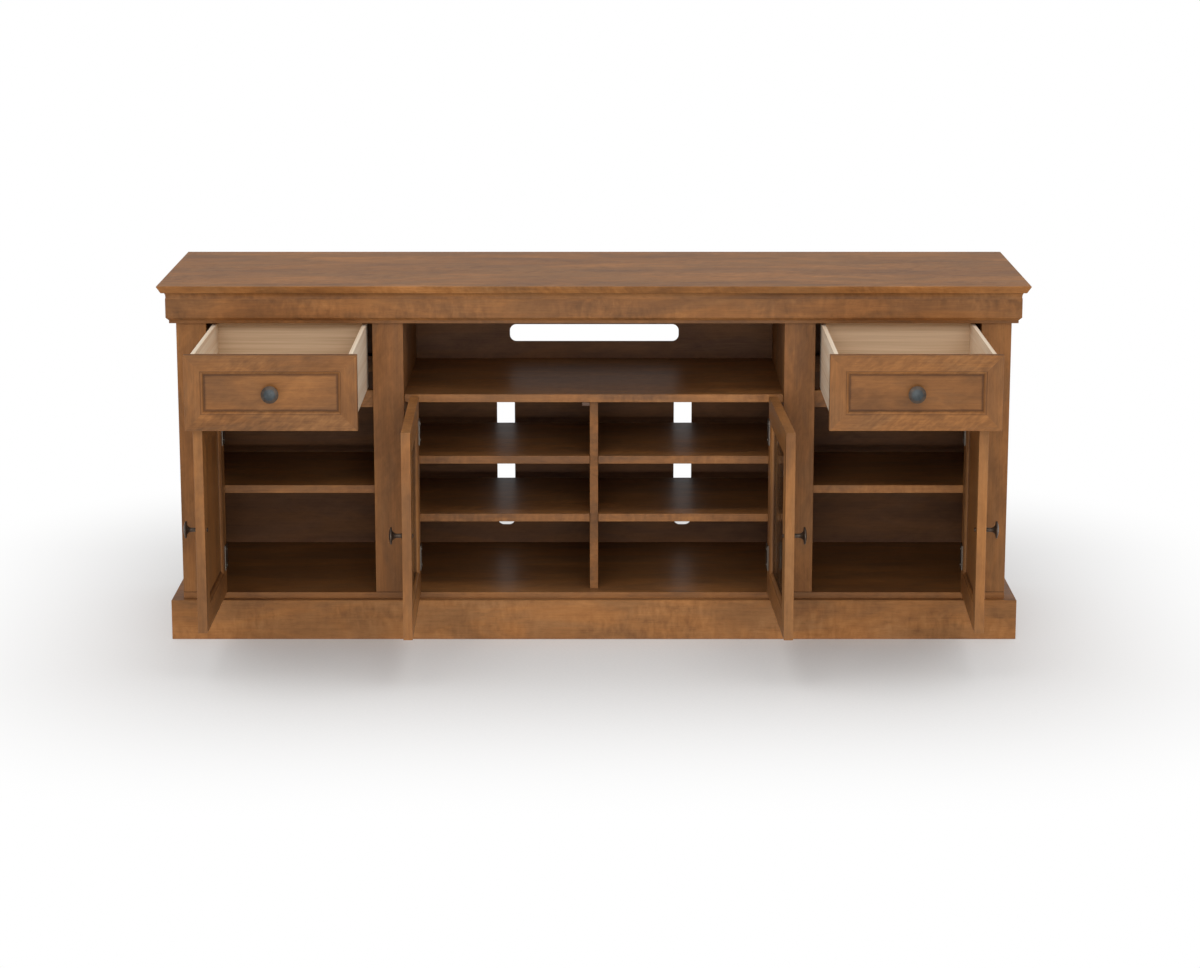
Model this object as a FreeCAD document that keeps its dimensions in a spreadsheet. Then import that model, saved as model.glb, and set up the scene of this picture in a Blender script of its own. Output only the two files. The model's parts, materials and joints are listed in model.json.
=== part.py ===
import FreeCAD, Part
import math
import os
import re

import Sketcher

# A wide tv unit in stained wood. A bevelled top over a cove and a frieze, a plinth with a flat
# ledge, and a face frame whose uprights part the front into two side bays and a wide centre.
# Each side bay has a drawer over a framed door, and the centre has an open niche over two glass
# doors. The rest position has both drawers pulled out and all four doors standing open.
# Axes: X across the unit, Y from the front to the back, Z up from the floor.
# The origin is on the floor in the middle of the plinth's footprint.

# Driving lengths in millimetres.
SIZES = {
    # the whole unit
    "top_width": 1728.0,
    "total_height": 723.5,
    "top_overhang": 33.0,
    "top_back_overhang": 12.0,
    "body_depth": 450.0,
    # the top and the mouldings below it
    "top_thickness": 15.0,
    "top_edge_flat": 2.0,
    "top_bevel_inset": 7.5,
    "cove_height": 13.0,
    "cove_projection": 20.0,
    "cove_radius": 14.0,
    "frieze_height": 43.0,
    "frieze_thickness": 18.0,
    "frieze_chamfer": 6.0,
    "foot_height": 6.0,
    "foot_projection": 12.0,
    # the plinth
    "plinth_height": 81.0,
    "plinth_projection": 18.0,
    "plinth_end_projection": 23.0,
    "plinth_thickness": 30.0,
    "brace_thickness": 30.0,
    # the face frame
    "frame_thickness": 20.0,
    "side_opening": 330.5,
    "outer_stile_width": 59.4,
    "inner_stile_width": 61.3,
    # the boards of the case
    "bottom_thickness": 12.2,
    "side_thickness": 18.0,
    "partition_thickness": 18.0,
    "divider_thickness": 16.6,
    "divider_setback": 32.0,
    "back_thickness": 6.0,
    "niche_shelf_thickness": 16.0,
    "niche_shelf_drop": 0.5,
    "drawer_rail_rise": 5.0,
    "drawer_rail_height": 34.0,
    "drawer_rail_depth": 20.0,
    # the loose shelves and their pins
    "shelf_thickness": 16.0,
    "media_shelf_depth": 351.0,
    "side_shelf_depth": 339.0,
    "shelf_setback": 22.0,
    "shelf_play": 0.5,
    "upper_shelf_drop": 110.3,
    "lower_shelf_drop": 119.5,
    "side_shelf_drop": 160.7,
    "pin_diameter": 5.0,
    "pin_length": 12.0,
    "pin_inset": 45.0,
    "pin_hole_extra": 1.0,
    # the cable slots in the back
    "wide_slot_width": 360.0,
    "wide_slot_height": 37.0,
    "wide_slot_rise": 36.4,
    "tall_slot_width": 38.0,
    "tall_slot_shift": 4.5,
    "tall_slot_low_gap": 38.5,
    "tall_slot_high_gap": 38.0,
    "slot_corner_radius": 14.0,
    "cut_overrun": 6.0,
    # the framed fronts
    "front_gap": 2.5,
    "front_thickness": 18.0,
    "panel_thickness": 6.0,
    "panel_recess": 6.0,
    "glass_thickness": 4.0,
    "glass_recess": 7.0,
    "groove_depth": 9.0,
    "panel_play": 1.0,
    "door_member_width": 55.0,
    "drawer_member_width": 37.0,
    "drawer_front_height": 144.0,
    # the drawer boxes
    "drawer_pull": 372.0,
    "box_side_inset": 9.6,
    "box_lift": 4.0,
    "box_top_gap": 5.0,
    "box_length": 390.0,
    "box_wall": 8.0,
    "box_groove": 4.0,
    "box_floor_thickness": 5.0,
    "box_floor_recess": 9.5,
    # the telescopic slide under each drawer
    "slide_width": 40.0,
    "slide_height": 11.0,
    "slide_wall": 1.2,
    "slide_lip": 4.0,
    "slide_play": 0.4,
    "slide_length": 380.0,
    "slide_setback": 4.0,
    "slide_stem_width": 20.0,
    # the knobs
    "knob_diameter": 33.0,
    "knob_projection": 26.0,
    "knob_rim": 2.2,
    "knob_dome": 3.0,
    "knob_flare_length": 10.0,
    "knob_flare_radius": 11.0,
    "knob_stem_diameter": 8.0,
    "knob_base_diameter": 13.0,
    "knob_base_height": 3.0,
    "door_knob_rise": 198.0,
    "bolt_diameter": 4.0,
    "bolt_play": 0.15,
    "bolt_grip": 8.0,
    "bolt_head_diameter": 8.0,
    "bolt_head_height": 2.2,
    # the hinges
    "hinge_height": 50.0,
    "hinge_low_inset": 77.0,
    "hinge_top_inset": 68.5,
    "hinge_axis_inset": 4.0,
    "hinge_axis_forward": 8.0,
    "hinge_barrel_diameter": 9.0,
    "hinge_pin_diameter": 4.0,
    "hinge_pin_play": 0.05,
    "hinge_end_knuckle": 12.0,
    "hinge_knuckle_gap": 0.3,
    "hinge_leaf_thickness": 1.0,
    "hinge_leaf_depth": 17.0,
    "hinge_plate_thickness": 2.5,
    "hinge_plate_width": 31.0,
    "hinge_cap_height": 2.0,
    "hinge_cap_diameter": 6.0,
    "screw_diameter": 3.0,
    "screw_head_diameter": 6.0,
    "screw_head_height": 1.4,
    "screw_length": 14.0,
    "screw_spread": 32.0,
    "hole_play": 0.1,
    # the door catches
    "catch_width": 15.5,
    "catch_height": 7.0,
    "catch_depth": 20.0,
    "catch_gap": 0.5,
    "catch_inset": 30.0,
}

# How far each door stands open at rest, in degrees from closed.
ANGLES = {
    "left_outer_angle": 90.0,
    "left_centre_angle": 89.2,
    "right_centre_angle": 91.9,
    "right_outer_angle": 88.2,
}

# Places that follow from the driving lengths.
PLACES = {
    "body_half": "top_width / 2 - top_overhang",
    "face_y": "plinth_projection - (body_depth + plinth_projection) / 2",
    "body_back_y": "face_y + body_depth",
    "member_y": "face_y + frame_thickness",
    "back_y": "body_back_y - back_thickness",
    "slab_bottom": "total_height - top_thickness",
    "cove_bottom": "slab_bottom - cove_height",
    "frieze_bottom": "cove_bottom - frieze_height",
    "frame_top": "frieze_bottom - foot_height",
    "plinth_end_shift": "plinth_end_projection - plinth_projection",
    "floor_top": "plinth_height + bottom_thickness",
    "bay_outer_edge": "body_half - outer_stile_width",
    "bay_inner_edge": "bay_outer_edge - side_opening",
    "niche_edge": "bay_inner_edge - inner_stile_width",
    "centre_opening": "2 * niche_edge",
    "bay_centre": "(bay_inner_edge + bay_outer_edge) / 2",
    "side_wall": "body_half - side_thickness",
    "partition_outer": "niche_edge + partition_thickness",
    "divider_half": "divider_thickness / 2",
    "shelf_front_y": "face_y + shelf_setback",
    "drawer_front_top": "frame_top - front_gap",
    "drawer_front_bottom": "drawer_front_top - drawer_front_height",
    "drawer_front_width": "side_opening - 2 * front_gap",
    "door_bottom": "floor_top + front_gap",
    "door_top": "drawer_front_bottom - front_gap",
    "door_height": "door_top - door_bottom",
    "door_knob_height": "door_bottom + door_knob_rise",
    "niche_shelf_top": "door_top - niche_shelf_drop",
    "niche_shelf_bottom": "niche_shelf_top - niche_shelf_thickness",
    "drawer_rail_top": "drawer_front_bottom + drawer_rail_rise",
    "drawer_rail_bottom": "drawer_rail_top - drawer_rail_height",
    "upper_shelf_top": "niche_shelf_bottom - upper_shelf_drop",
    "lower_shelf_top": "upper_shelf_top - lower_shelf_drop",
    "side_shelf_top": "drawer_rail_bottom - side_shelf_drop",
    "wide_slot_bottom": "niche_shelf_top + wide_slot_rise",
    "tall_slot_bottom": "floor_top + tall_slot_low_gap",
    "tall_slot_height": "niche_shelf_bottom - tall_slot_high_gap - tall_slot_bottom",
    "tall_slot_x": "(divider_half + niche_edge) / 2 - tall_slot_shift - tall_slot_width / 2",
    "side_door_width": "side_opening - 2 * front_gap",
    "centre_door_width": "(centre_opening - 3 * front_gap) / 2",
    "front_back_y": "face_y + front_thickness",
    "box_bottom": "drawer_rail_top + box_lift",
    "box_height": "frame_top - box_top_gap - box_bottom",
    "box_inner_x": "bay_inner_edge + front_gap + box_side_inset",
    "box_width": "drawer_front_width - 2 * box_side_inset",
    "box_floor_bottom": "box_bottom + box_floor_recess",
    "box_floor_top": "box_floor_bottom + box_floor_thickness",
    "box_back_y": "front_back_y + box_length",
    "slide_start_y": "member_y + slide_setback",
    "middle_width": "slide_width - 2 * (slide_wall + slide_play)",
    "middle_bottom": "drawer_rail_top + slide_wall + slide_play",
    "middle_height": "slide_height - 2 * (slide_wall + slide_play)",
    "bar_width": "middle_width - 2 * (slide_wall + slide_play)",
    "bar_bottom": "middle_bottom + slide_wall + slide_play",
    "bar_height": "middle_height - 2 * (slide_wall + slide_play)",
    "door_edge_x": "front_gap - hinge_axis_inset",
    "door_back_y": "hinge_axis_forward + front_thickness",
    "hinge_low_z": "door_bottom + hinge_low_inset - hinge_height / 2",
    "hinge_high_z": "door_top - hinge_top_inset - hinge_height / 2",
    "middle_knuckle": "hinge_height - 2 * (hinge_end_knuckle + hinge_knuckle_gap)",
    "knob_rim_top": "knob_projection - knob_dome",
    "knob_rim_bottom": "knob_rim_top - knob_rim",
    "knob_dome_radius": "(knob_diameter * knob_diameter / 4 + knob_dome * knob_dome) / (2 * knob_dome)",
}

# Each door's name, its hinged side (1 hinges on the left), its hinge post's edge and its width.
DOORS = {
    "door_left_outer": (1, "-bay_outer_edge", "side_door_width", "left_outer_angle"),
    "door_left_centre": (1, "-niche_edge", "centre_door_width", "left_centre_angle"),
    "door_right_centre": (-1, "niche_edge", "centre_door_width", "right_centre_angle"),
    "door_right_outer": (-1, "bay_outer_edge", "side_door_width", "right_outer_angle"),
}

DRAWERS = {"drawer_left": -1, "drawer_right": 1}

SHEET_OF = {name: "sizes" for name in list(SIZES) + list(ANGLES)}
SHEET_OF.update({name: "places" for name in PLACES})

doc = FreeCAD.newDocument("TvUnit")
nodes = {}


# Formulas and simple solids

def full(formula):
    """A formula with each named value led by the sheet that holds it."""
    return re.sub(r"[a-z]+(?:_[a-z]+)+", lambda word: SHEET_OF[word.group(0)] + "." + word.group(0),
                  str(formula))


def fill_sheets():
    """Keep the driving values in one sheet and what follows from them in another."""
    sizes = doc.addObject("Spreadsheet::Sheet", "sizes")
    for row, (name, size) in enumerate({**SIZES, **ANGLES}.items(), start=1):
        sizes.set("A%d" % row, name)
        sizes.set("B%d" % row, str(size))
        sizes.setAlias("B%d" % row, name)
    doc.recompute()
    places = doc.addObject("Spreadsheet::Sheet", "places")
    for row, (name, formula) in enumerate(PLACES.items(), start=1):
        own_sheet = full(formula).replace("places.", "")
        places.set("A%d" % row, name)
        places.set("B%d" % row, "=" + own_sheet)
        places.setAlias("B%d" % row, name)
    doc.recompute()
    return sizes


sheet = fill_sheets()


def number(formula):
    """The value that a formula has now."""
    return float(sheet.evalExpression(full(formula)))


def bind(thing, **formulas):
    """Bind the sizes of an object to formulas."""
    for prop, formula in formulas.items():
        thing.setExpression(prop, full(formula))
    return thing


def move(thing, x=0, y=0, z=0):
    """Bind the place of an object to formulas."""
    for axis, formula in zip("xyz", (x, y, z)):
        thing.setExpression("Placement.Base." + axis, full(formula))
    return thing


def mirrored(side, start, length=0):
    """The lower end of a stretch, on the right or turned over to the left."""
    if side > 0:
        return "(%s)" % start
    return "(-(%s) - (%s))" % (start, length)


def board(name, x, y, z, length, width, height):
    """A rectangular piece from its lowest corner and its three sizes."""
    piece = doc.addObject("Part::Box", name)
    bind(piece, Length=length, Width=width, Height=height)
    return move(piece, x, y, z)


AXIS_TURNS = {
    "x": FreeCAD.Rotation(FreeCAD.Vector(0, 1, 0), 90),
    "y": FreeCAD.Rotation(FreeCAD.Vector(1, 0, 0), -90),
    "z": FreeCAD.Rotation(),
}


def rod(name, axis, x, y, z, diameter, length):
    """A round piece that runs along an axis from its centre point."""
    piece = doc.addObject("Part::Cylinder", name)
    piece.Placement.Rotation = AXIS_TURNS[axis]
    bind(piece, Radius="(%s) / 2" % diameter, Height=length)
    return move(piece, x, y, z)


def taper(name, axis, x, y, z, first, second, length):
    """A round piece that narrows or widens along an axis."""
    piece = doc.addObject("Part::Cone", name)
    piece.Placement.Rotation = AXIS_TURNS[axis]
    bind(piece, Radius1="(%s) / 2" % first, Radius2="(%s) / 2" % second, Height=length)
    return move(piece, x, y, z)


def together(name, pieces):
    """Separate solids kept in one object."""
    kept = doc.addObject("Part::Compound", name)
    kept.Links = pieces
    return kept


def joined(name, pieces):
    """Solids fused into one."""
    fused = doc.addObject("Part::MultiFuse", name)
    fused.Shapes = pieces
    return fused


def carved(name, piece, tools):
    """A piece with tools cut out of it."""
    cut = doc.addObject("Part::Cut", name)
    cut.Base = piece
    cut.Tool = tools[0] if len(tools) == 1 else together(name + "_tools", tools)
    return cut


def shared(name, first, second):
    """The space that two forms share."""
    common = doc.addObject("Part::Common", name)
    common.Base = first
    common.Tool = second
    return common


def across(name, piece):
    """The same piece on the other side of the unit."""
    image = doc.addObject("Part::Mirroring", name)
    image.Source = piece
    image.Normal = FreeCAD.Vector(1, 0, 0)
    return image


def node(name, thing):
    """Keep an object as one sub-part under its own label."""
    thing.Label = name
    nodes[name] = thing
    return thing


# Drawn outlines

def draw_outline(body, role, corners):
    """A closed sketch on an origin plane. Each corner is (across, up) or (across, up, radius, turn),
    where the edge that starts there is an arc whose centre lies left (1) or right (-1) of the way."""
    sketch = body.newObject("Sketcher::SketchObject", body.Name + "_outline")
    plane = [item for item in body.Origin.OriginFeatures if item.Role == role][0]
    sketch.AttachmentSupport = [(plane, "")]
    sketch.MapMode = "FlatFace"
    points = [FreeCAD.Vector(number(corner[0]), number(corner[1]), 0) for corner in corners]
    ends = []
    for index, corner in enumerate(corners):
        start, stop = points[index], points[(index + 1) % len(points)]
        if len(corner) == 2:
            sketch.addGeometry(Part.LineSegment(start, stop), False)
            ends.append((1, 2))
            continue
        radius, turn = number(corner[2]), corner[3]
        way = stop - start
        height = math.sqrt(radius ** 2 - (way.Length / 2) ** 2)
        centre = (start + stop) / 2 + FreeCAD.Vector(-way.y, way.x, 0).normalize() * height * turn
        first, last = (start, stop) if turn > 0 else (stop, start)
        angles = [math.atan2(spot.y - centre.y, spot.x - centre.x) for spot in (first, last)]
        circle = Part.Circle(centre, FreeCAD.Vector(0, 0, 1), radius)
        sketch.addGeometry(Part.ArcOfCircle(circle, angles[0], angles[1]), False)
        ends.append((1, 2) if turn > 0 else (2, 1))
    for index, corner in enumerate(corners):
        after = (index + 1) % len(corners)
        sketch.addConstraint(Sketcher.Constraint("Coincident", index, ends[index][1], after, ends[after][0]))
        for kind, formula, spot in (("DistanceX", corner[0], points[index].x),
                                    ("DistanceY", corner[1], points[index].y)):
            pin = sketch.addConstraint(Sketcher.Constraint(kind, -1, 1, index, ends[index][0], spot))
            sketch.setExpression("Constraints[%d]" % pin, full(formula))
        if len(corner) > 2:
            bend = sketch.addConstraint(Sketcher.Constraint("Radius", index, number(corner[2])))
            sketch.setExpression("Constraints[%d]" % bend, full(corner[2]))
    return sketch


def padded(name, role, corners, length):
    """A body made by drawing an outline on an origin plane and padding it."""
    body = doc.addObject("PartDesign::Body", name)
    pad = body.newObject("PartDesign::Pad", name + "_pad")
    pad.Profile = draw_outline(body, role, corners)
    bind(pad, Length=length)
    return body


def turned(name, corners):
    """A body made by turning an outline about the upright axis."""
    body = doc.addObject("PartDesign::Body", name)
    sketch = draw_outline(body, "XZ_Plane", corners)
    turning = body.newObject("PartDesign::Revolution", name + "_turning")
    turning.Profile = sketch
    turning.ReferenceAxis = (sketch, ["V_Axis"])
    turning.Angle = 360
    return body


# The top, its mouldings and the plinth

def make_top():
    """A board whose front and end edges are bevelled under a narrow flat."""
    half = "top_width / 2"
    flat = "total_height - top_edge_flat"
    front = "face_y - top_overhang"
    back = "(body_back_y + top_back_overhang)"
    depth_form = padded("top_depth_form", "YZ_Plane", [
        (front, "total_height"), (front, flat), (front + " + top_bevel_inset", "slab_bottom"),
        (back, "slab_bottom"), (back, "total_height")], "top_width")
    move(depth_form, x="-(%s)" % half)
    width_form = padded("top_width_form", "XZ_Plane", [
        ("-" + half, "total_height"), ("-" + half, flat), ("-%s + top_bevel_inset" % half, "slab_bottom"),
        (half + " - top_bevel_inset", "slab_bottom"), (half, flat), (half, "total_height")],
        "%s - (%s)" % (back, front))
    move(width_form, y=back)
    node("top_slab", shared("top_slab", depth_form, width_form))


def make_band(name, profile, reach, inward, bottom, height, end_shift="0"):
    """A front run and two end runs of one profile, mitred where they meet. The profile's corners
    are (out from the body, up), with arcs whose centres lie outside (1) or inside (-1). The end
    runs stand further out by the end shift."""
    end_x = "(body_half + %s)" % end_shift
    front_corners = [("face_y - (%s)" % corner[0],) + tuple(corner[1:]) for corner in profile]
    side_corners = [("%s + (%s)" % (end_x, corner[0]), corner[1]) if len(corner) == 2 else
                    ("%s + (%s)" % (end_x, corner[0]), corner[1], corner[2], -corner[3])
                    for corner in profile]
    outer_x, inner_x = "(%s + %s)" % (end_x, reach), "(%s - %s)" % (end_x, inward)
    outer_y, inner_y = "(face_y - %s)" % reach, "(face_y + %s)" % inward
    front_form = move(padded(name + "_front_form", "YZ_Plane", front_corners, "2 * " + outer_x),
                      x="-" + outer_x)
    front_plan = move(padded(name + "_front_plan", "XY_Plane", [
        ("-" + outer_x, outer_y), (outer_x, outer_y), (inner_x, inner_y), ("-" + inner_x, inner_y)], height),
        z=bottom)
    side_form = move(padded(name + "_side_form", "XZ_Plane", side_corners, "body_depth + " + reach),
                     y="body_back_y")
    side_plan = move(padded(name + "_side_plan", "XY_Plane", [
        (outer_x, outer_y), (outer_x, "body_back_y"), (inner_x, "body_back_y"), (inner_x, inner_y)], height),
        z=bottom)
    front = shared(name + "_front", front_form, front_plan)
    right = shared(name + "_right", side_form, side_plan)
    return [front, right, across(name + "_left", right)]


def make_mouldings():
    """Cove, frieze and foot moulding, from the top downwards."""
    cove = make_band("cove", [
        ("0", "cove_bottom"), ("frieze_thickness", "cove_bottom", "cove_radius", 1),
        ("cove_projection", "slab_bottom"), ("0", "slab_bottom")],
        "cove_projection", "0", "cove_bottom", "cove_height")
    node("cove_moulding", together("cove_moulding", cove))
    frieze = make_band("frieze", [
        ("0", "frieze_bottom"), ("frieze_thickness - frieze_chamfer", "frieze_bottom"),
        ("frieze_thickness", "frieze_bottom + frieze_chamfer"), ("frieze_thickness", "cove_bottom"),
        ("0", "cove_bottom")], "frieze_thickness", "0", "frieze_bottom", "frieze_height")
    node("frieze_boards", together("frieze_boards", frieze))
    foot = make_band("frieze_foot", [
        ("0", "frame_top"), ("foot_projection", "frame_top"), ("foot_projection", "frieze_bottom"),
        ("0", "frieze_bottom")], "foot_projection", "0", "frame_top", "foot_height")
    node("frieze_foot_moulding", together("frieze_foot_moulding", foot))


def make_plinth():
    """Four boards under the case and a brace from front to back on the floor."""
    inward = "(plinth_thickness - plinth_projection)"
    runs = make_band("plinth", [
        ("-" + inward, "0"), ("plinth_projection", "0"), ("plinth_projection", "plinth_height"),
        ("-" + inward, "plinth_height")], "plinth_projection", inward, "0", "plinth_height",
        "plinth_end_shift")
    inner_half = "(body_half + plinth_end_shift - %s)" % inward
    back = board("plinth_back", "-" + inner_half, "body_back_y - plinth_thickness", 0,
                 "2 * " + inner_half, "plinth_thickness", "plinth_height")
    node("plinth_boards", together("plinth_boards", runs + [back]))
    start = "(face_y + %s)" % inward
    node("plinth_brace", board("plinth_brace", "-brace_thickness / 2", start, 0, "brace_thickness",
                               "body_back_y - plinth_thickness - " + start, "plinth_height"))


# The case

def hinge_screw_heights():
    """Heights of the screws of the two hinges on one door edge."""
    heights = []
    for level in ("hinge_low_z", "hinge_high_z"):
        middle = level + " + hinge_height / 2"
        heights += [middle + " - screw_spread / 2", middle + " + screw_spread / 2"]
    return heights


def drilled_stile(name, edge, width):
    """An upright of the face frame's right half, drilled from its left edge for the hinge screws."""
    stile = board(name + "_blank", edge, "face_y", "floor_top", width, "frame_thickness",
                  "frame_top - floor_top")
    holes = [rod("%s_hole_%d" % (name, count), "x", edge, "face_y + hinge_leaf_depth / 2", height,
                 "screw_diameter + 2 * hole_play", "screw_length + hole_play")
             for count, height in enumerate(hinge_screw_heights())]
    return carved(name, stile, holes)


def make_face_frame():
    """Four uprights under one long top rail."""
    outer = drilled_stile("outer_stile", "bay_outer_edge", "body_half - bay_outer_edge")
    node("outer_stiles", together("outer_stiles", [outer, across("outer_stile_left", outer)]))
    inner = drilled_stile("inner_stile", "niche_edge", "inner_stile_width")
    node("inner_stiles", together("inner_stiles", [inner, across("inner_stile_left", inner)]))
    node("top_rail", board("top_rail", "-body_half", "face_y", "frame_top", "2 * body_half",
                           "frame_thickness", "slab_bottom - frame_top"))


# Each loose shelf's top and depth, with the wall planes to its left and right that carry its pins.
SHELVES = {
    "upper_shelf": ("upper_shelf_top", "media_shelf_depth", "divider_half", "niche_edge"),
    "lower_shelf": ("lower_shelf_top", "media_shelf_depth", "divider_half", "niche_edge"),
    "side_shelf": ("side_shelf_top", "side_shelf_depth", "partition_outer", "side_wall"),
}


def pins_in(wall, name, diameter, length):
    """Round pieces across one wall plane, under every shelf that this wall carries."""
    pieces = []
    for shelf, (top, depth, *walls) in SHELVES.items():
        if wall not in walls:
            continue
        middle_z = top + " - shelf_thickness - pin_diameter / 2"
        for spot, y in enumerate(("shelf_front_y + pin_inset", "shelf_front_y + %s - pin_inset" % depth)):
            pieces.append(rod("%s_%s_%s_%d" % (shelf, wall, name, spot), "x",
                              "%s - (%s) / 2" % (wall, length), y, middle_z, diameter, length))
    return pieces


def pin_holes(wall):
    """The drilled holes for the pins in one wall."""
    return pins_in(wall, "hole", "pin_diameter + 2 * hole_play", "pin_length + 2 * pin_hole_extra")


def make_case():
    """Bottom, ends, partitions, divider, fixed shelf and rails."""
    node("bottom_panel", board("bottom_panel", "-body_half", "face_y", "plinth_height", "2 * body_half",
                               "body_depth", "bottom_thickness"))
    height = "slab_bottom - floor_top"
    end_blank = board("side_panel_blank", "side_wall", "member_y", "floor_top", "side_thickness",
                      "body_depth - frame_thickness", height)
    end = carved("side_panel", end_blank, pin_holes("side_wall"))
    node("side_panels", together("side_panels", [end, across("side_panel_left", end)]))
    depth = "back_y - member_y"
    partition_blank = board("partition_blank", "niche_edge", "member_y", "floor_top", "partition_thickness",
                            depth, height)
    partition = carved("partition", partition_blank, pin_holes("niche_edge") + pin_holes("partition_outer"))
    node("partitions", together("partitions", [partition, across("partition_left", partition)]))
    right_holes = pin_holes("divider_half")
    left_holes = [across(hole.Name + "_left", hole) for hole in right_holes]
    divider = board("divider_blank", "-divider_half", "face_y + divider_setback", "floor_top",
                    "divider_thickness", "back_y - face_y - divider_setback",
                    "niche_shelf_bottom - floor_top")
    node("centre_divider", carved("centre_divider", divider, right_holes + left_holes))
    node("niche_shelf", board("niche_shelf", "-niche_edge", "member_y", "niche_shelf_bottom",
                              "centre_opening", depth, "niche_shelf_thickness"))
    rails = []
    for name, y in (("drawer_rail", "member_y"), ("slide_cleat", "back_y - drawer_rail_depth")):
        rail = board(name, "partition_outer", y, "drawer_rail_bottom", "side_wall - partition_outer",
                     "drawer_rail_depth", "drawer_rail_height")
        rails += [rail, across(name + "_left", rail)]
    node("drawer_rails", together("drawer_rails", rails))


def slot_form(name, x, z, width, height):
    """A rounded slot cutter that passes through the back."""
    corner = "slot_corner_radius"
    right, top = "%s + %s" % (x, width), "%s + %s" % (z, height)
    form = padded(name, "XZ_Plane", [
        (x + " + " + corner, z), (right + " - " + corner, z, corner, 1),
        (right, z + " + " + corner), (right, top + " - " + corner, corner, 1),
        (right + " - " + corner, top), (x + " + " + corner, top, corner, 1),
        (x, top + " - " + corner), (x, z + " + " + corner, corner, 1)], "back_thickness + 2 * cut_overrun")
    return move(form, y="back_y + back_thickness + cut_overrun")


def make_back():
    """One thin sheet with a long slot behind the niche and an upright slot in each centre bay."""
    sheet_form = board("back_blank", "-side_wall", "back_y", "floor_top", "2 * side_wall",
                       "back_thickness", "slab_bottom - floor_top")
    wide = slot_form("wide_slot", "-wide_slot_width / 2", "wide_slot_bottom", "wide_slot_width",
                     "wide_slot_height")
    tall = slot_form("tall_slot", "tall_slot_x", "tall_slot_bottom", "tall_slot_width", "tall_slot_height")
    node("back_panel", carved("back_panel", sheet_form, [wide, tall, across("tall_slot_left", tall)]))


def make_shelves():
    """Loose shelves on round pins."""
    kept = {}
    for shelf, (top, depth, inner, outer) in SHELVES.items():
        right = board(shelf, inner + " + shelf_play", "shelf_front_y", top + " - shelf_thickness",
                      "%s - %s - 2 * shelf_play" % (outer, inner), depth, "shelf_thickness")
        kept[shelf] = [right, across(shelf + "_left", right)]
    node("media_shelves", together("media_shelves", kept["upper_shelf"] + kept["lower_shelf"]))
    node("side_shelves", together("side_shelves", kept["side_shelf"]))
    pins = []
    for wall in ("divider_half", "niche_edge", "partition_outer", "side_wall"):
        pins += pins_in(wall, "pin", "pin_diameter", "pin_length")
    pins += [across(pin.Name + "_left", pin) for pin in pins]
    node("shelf_pins", together("shelf_pins", pins))


def make_catches():
    """Small catches that the doors close against."""
    y = "front_back_y + catch_gap"
    sizes = ("catch_width", "catch_depth", "catch_height")
    centre = board("catch_centre", "-divider_half - catch_width", y,
                   "niche_shelf_bottom - catch_height", *sizes)
    right = board("catch_right", "bay_inner_edge + catch_inset", y,
                  "drawer_rail_bottom - catch_height", *sizes)
    node("door_catches", together("door_catches", [centre, right, across("catch_left", right)]))


# Framed fronts

def framed_front(name, side, x, y, z, width, height, member, panel, recess, holes):
    """Two stiles and two rails, mitred where they meet, and a panel held in their grooves. The holes
    are given for the stile on the hinge side, the other stile and the panel."""
    groove_y = "%s + %s" % (y, recess)
    far_side, top = "%s + %s" % (x, width), "%s + %s" % (z, height)
    near_x, far_x = "%s + %s" % (x, member), "%s - %s" % (far_side, member)
    low_z, high_z = "%s + %s" % (z, member), "%s - %s" % (top, member)
    outer = [(x, z), (far_side, z), (far_side, top), (x, top)]
    inner = [(near_x, low_z), (far_x, low_z), (far_x, high_z), (near_x, high_z)]

    def strip(label, first, groove_x, groove_z, groove_length, groove_height, cuts=()):
        last = (first + 1) % len(outer)
        corners = [outer[first], outer[last], inner[last], inner[first]]
        if side < 0:
            corners = [("-(%s)" % across_x, up) for across_x, up in corners]
        blank = padded("%s_%s_blank" % (name, label), "XZ_Plane", corners, "front_thickness")
        move(blank, y="%s + front_thickness" % y)
        groove = board("%s_%s_groove" % (name, label), mirrored(side, groove_x, groove_length), groove_y,
                       groove_z, groove_length, panel, groove_height)
        return carved("%s_%s" % (name, label), blank, [groove] + list(cuts))

    deep = "groove_depth"
    stiles = [strip("near_stile", 3, "%s - %s" % (near_x, deep), z, deep, height, holes["near"]),
              strip("far_stile", 1, far_x, z, deep, height, holes["far"])]
    rails = [strip("low_rail", 0, x, "%s - %s" % (low_z, deep), width, deep),
             strip("high_rail", 2, x, high_z, width, deep)]
    grip = "(groove_depth - panel_play)"
    sheet_length = "%s - 2 * %s + 2 * %s" % (width, member, grip)
    sheet_piece = board(name + "_sheet", mirrored(side, "%s - %s" % (near_x, grip), sheet_length), groove_y,
                        "%s - %s" % (low_z, grip), sheet_length, panel,
                        "%s - 2 * %s + 2 * %s" % (height, member, grip))
    if holes["panel"]:
        sheet_piece = carved(name + "_drilled_sheet", sheet_piece, holes["panel"])
    return stiles, rails, sheet_piece


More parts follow.
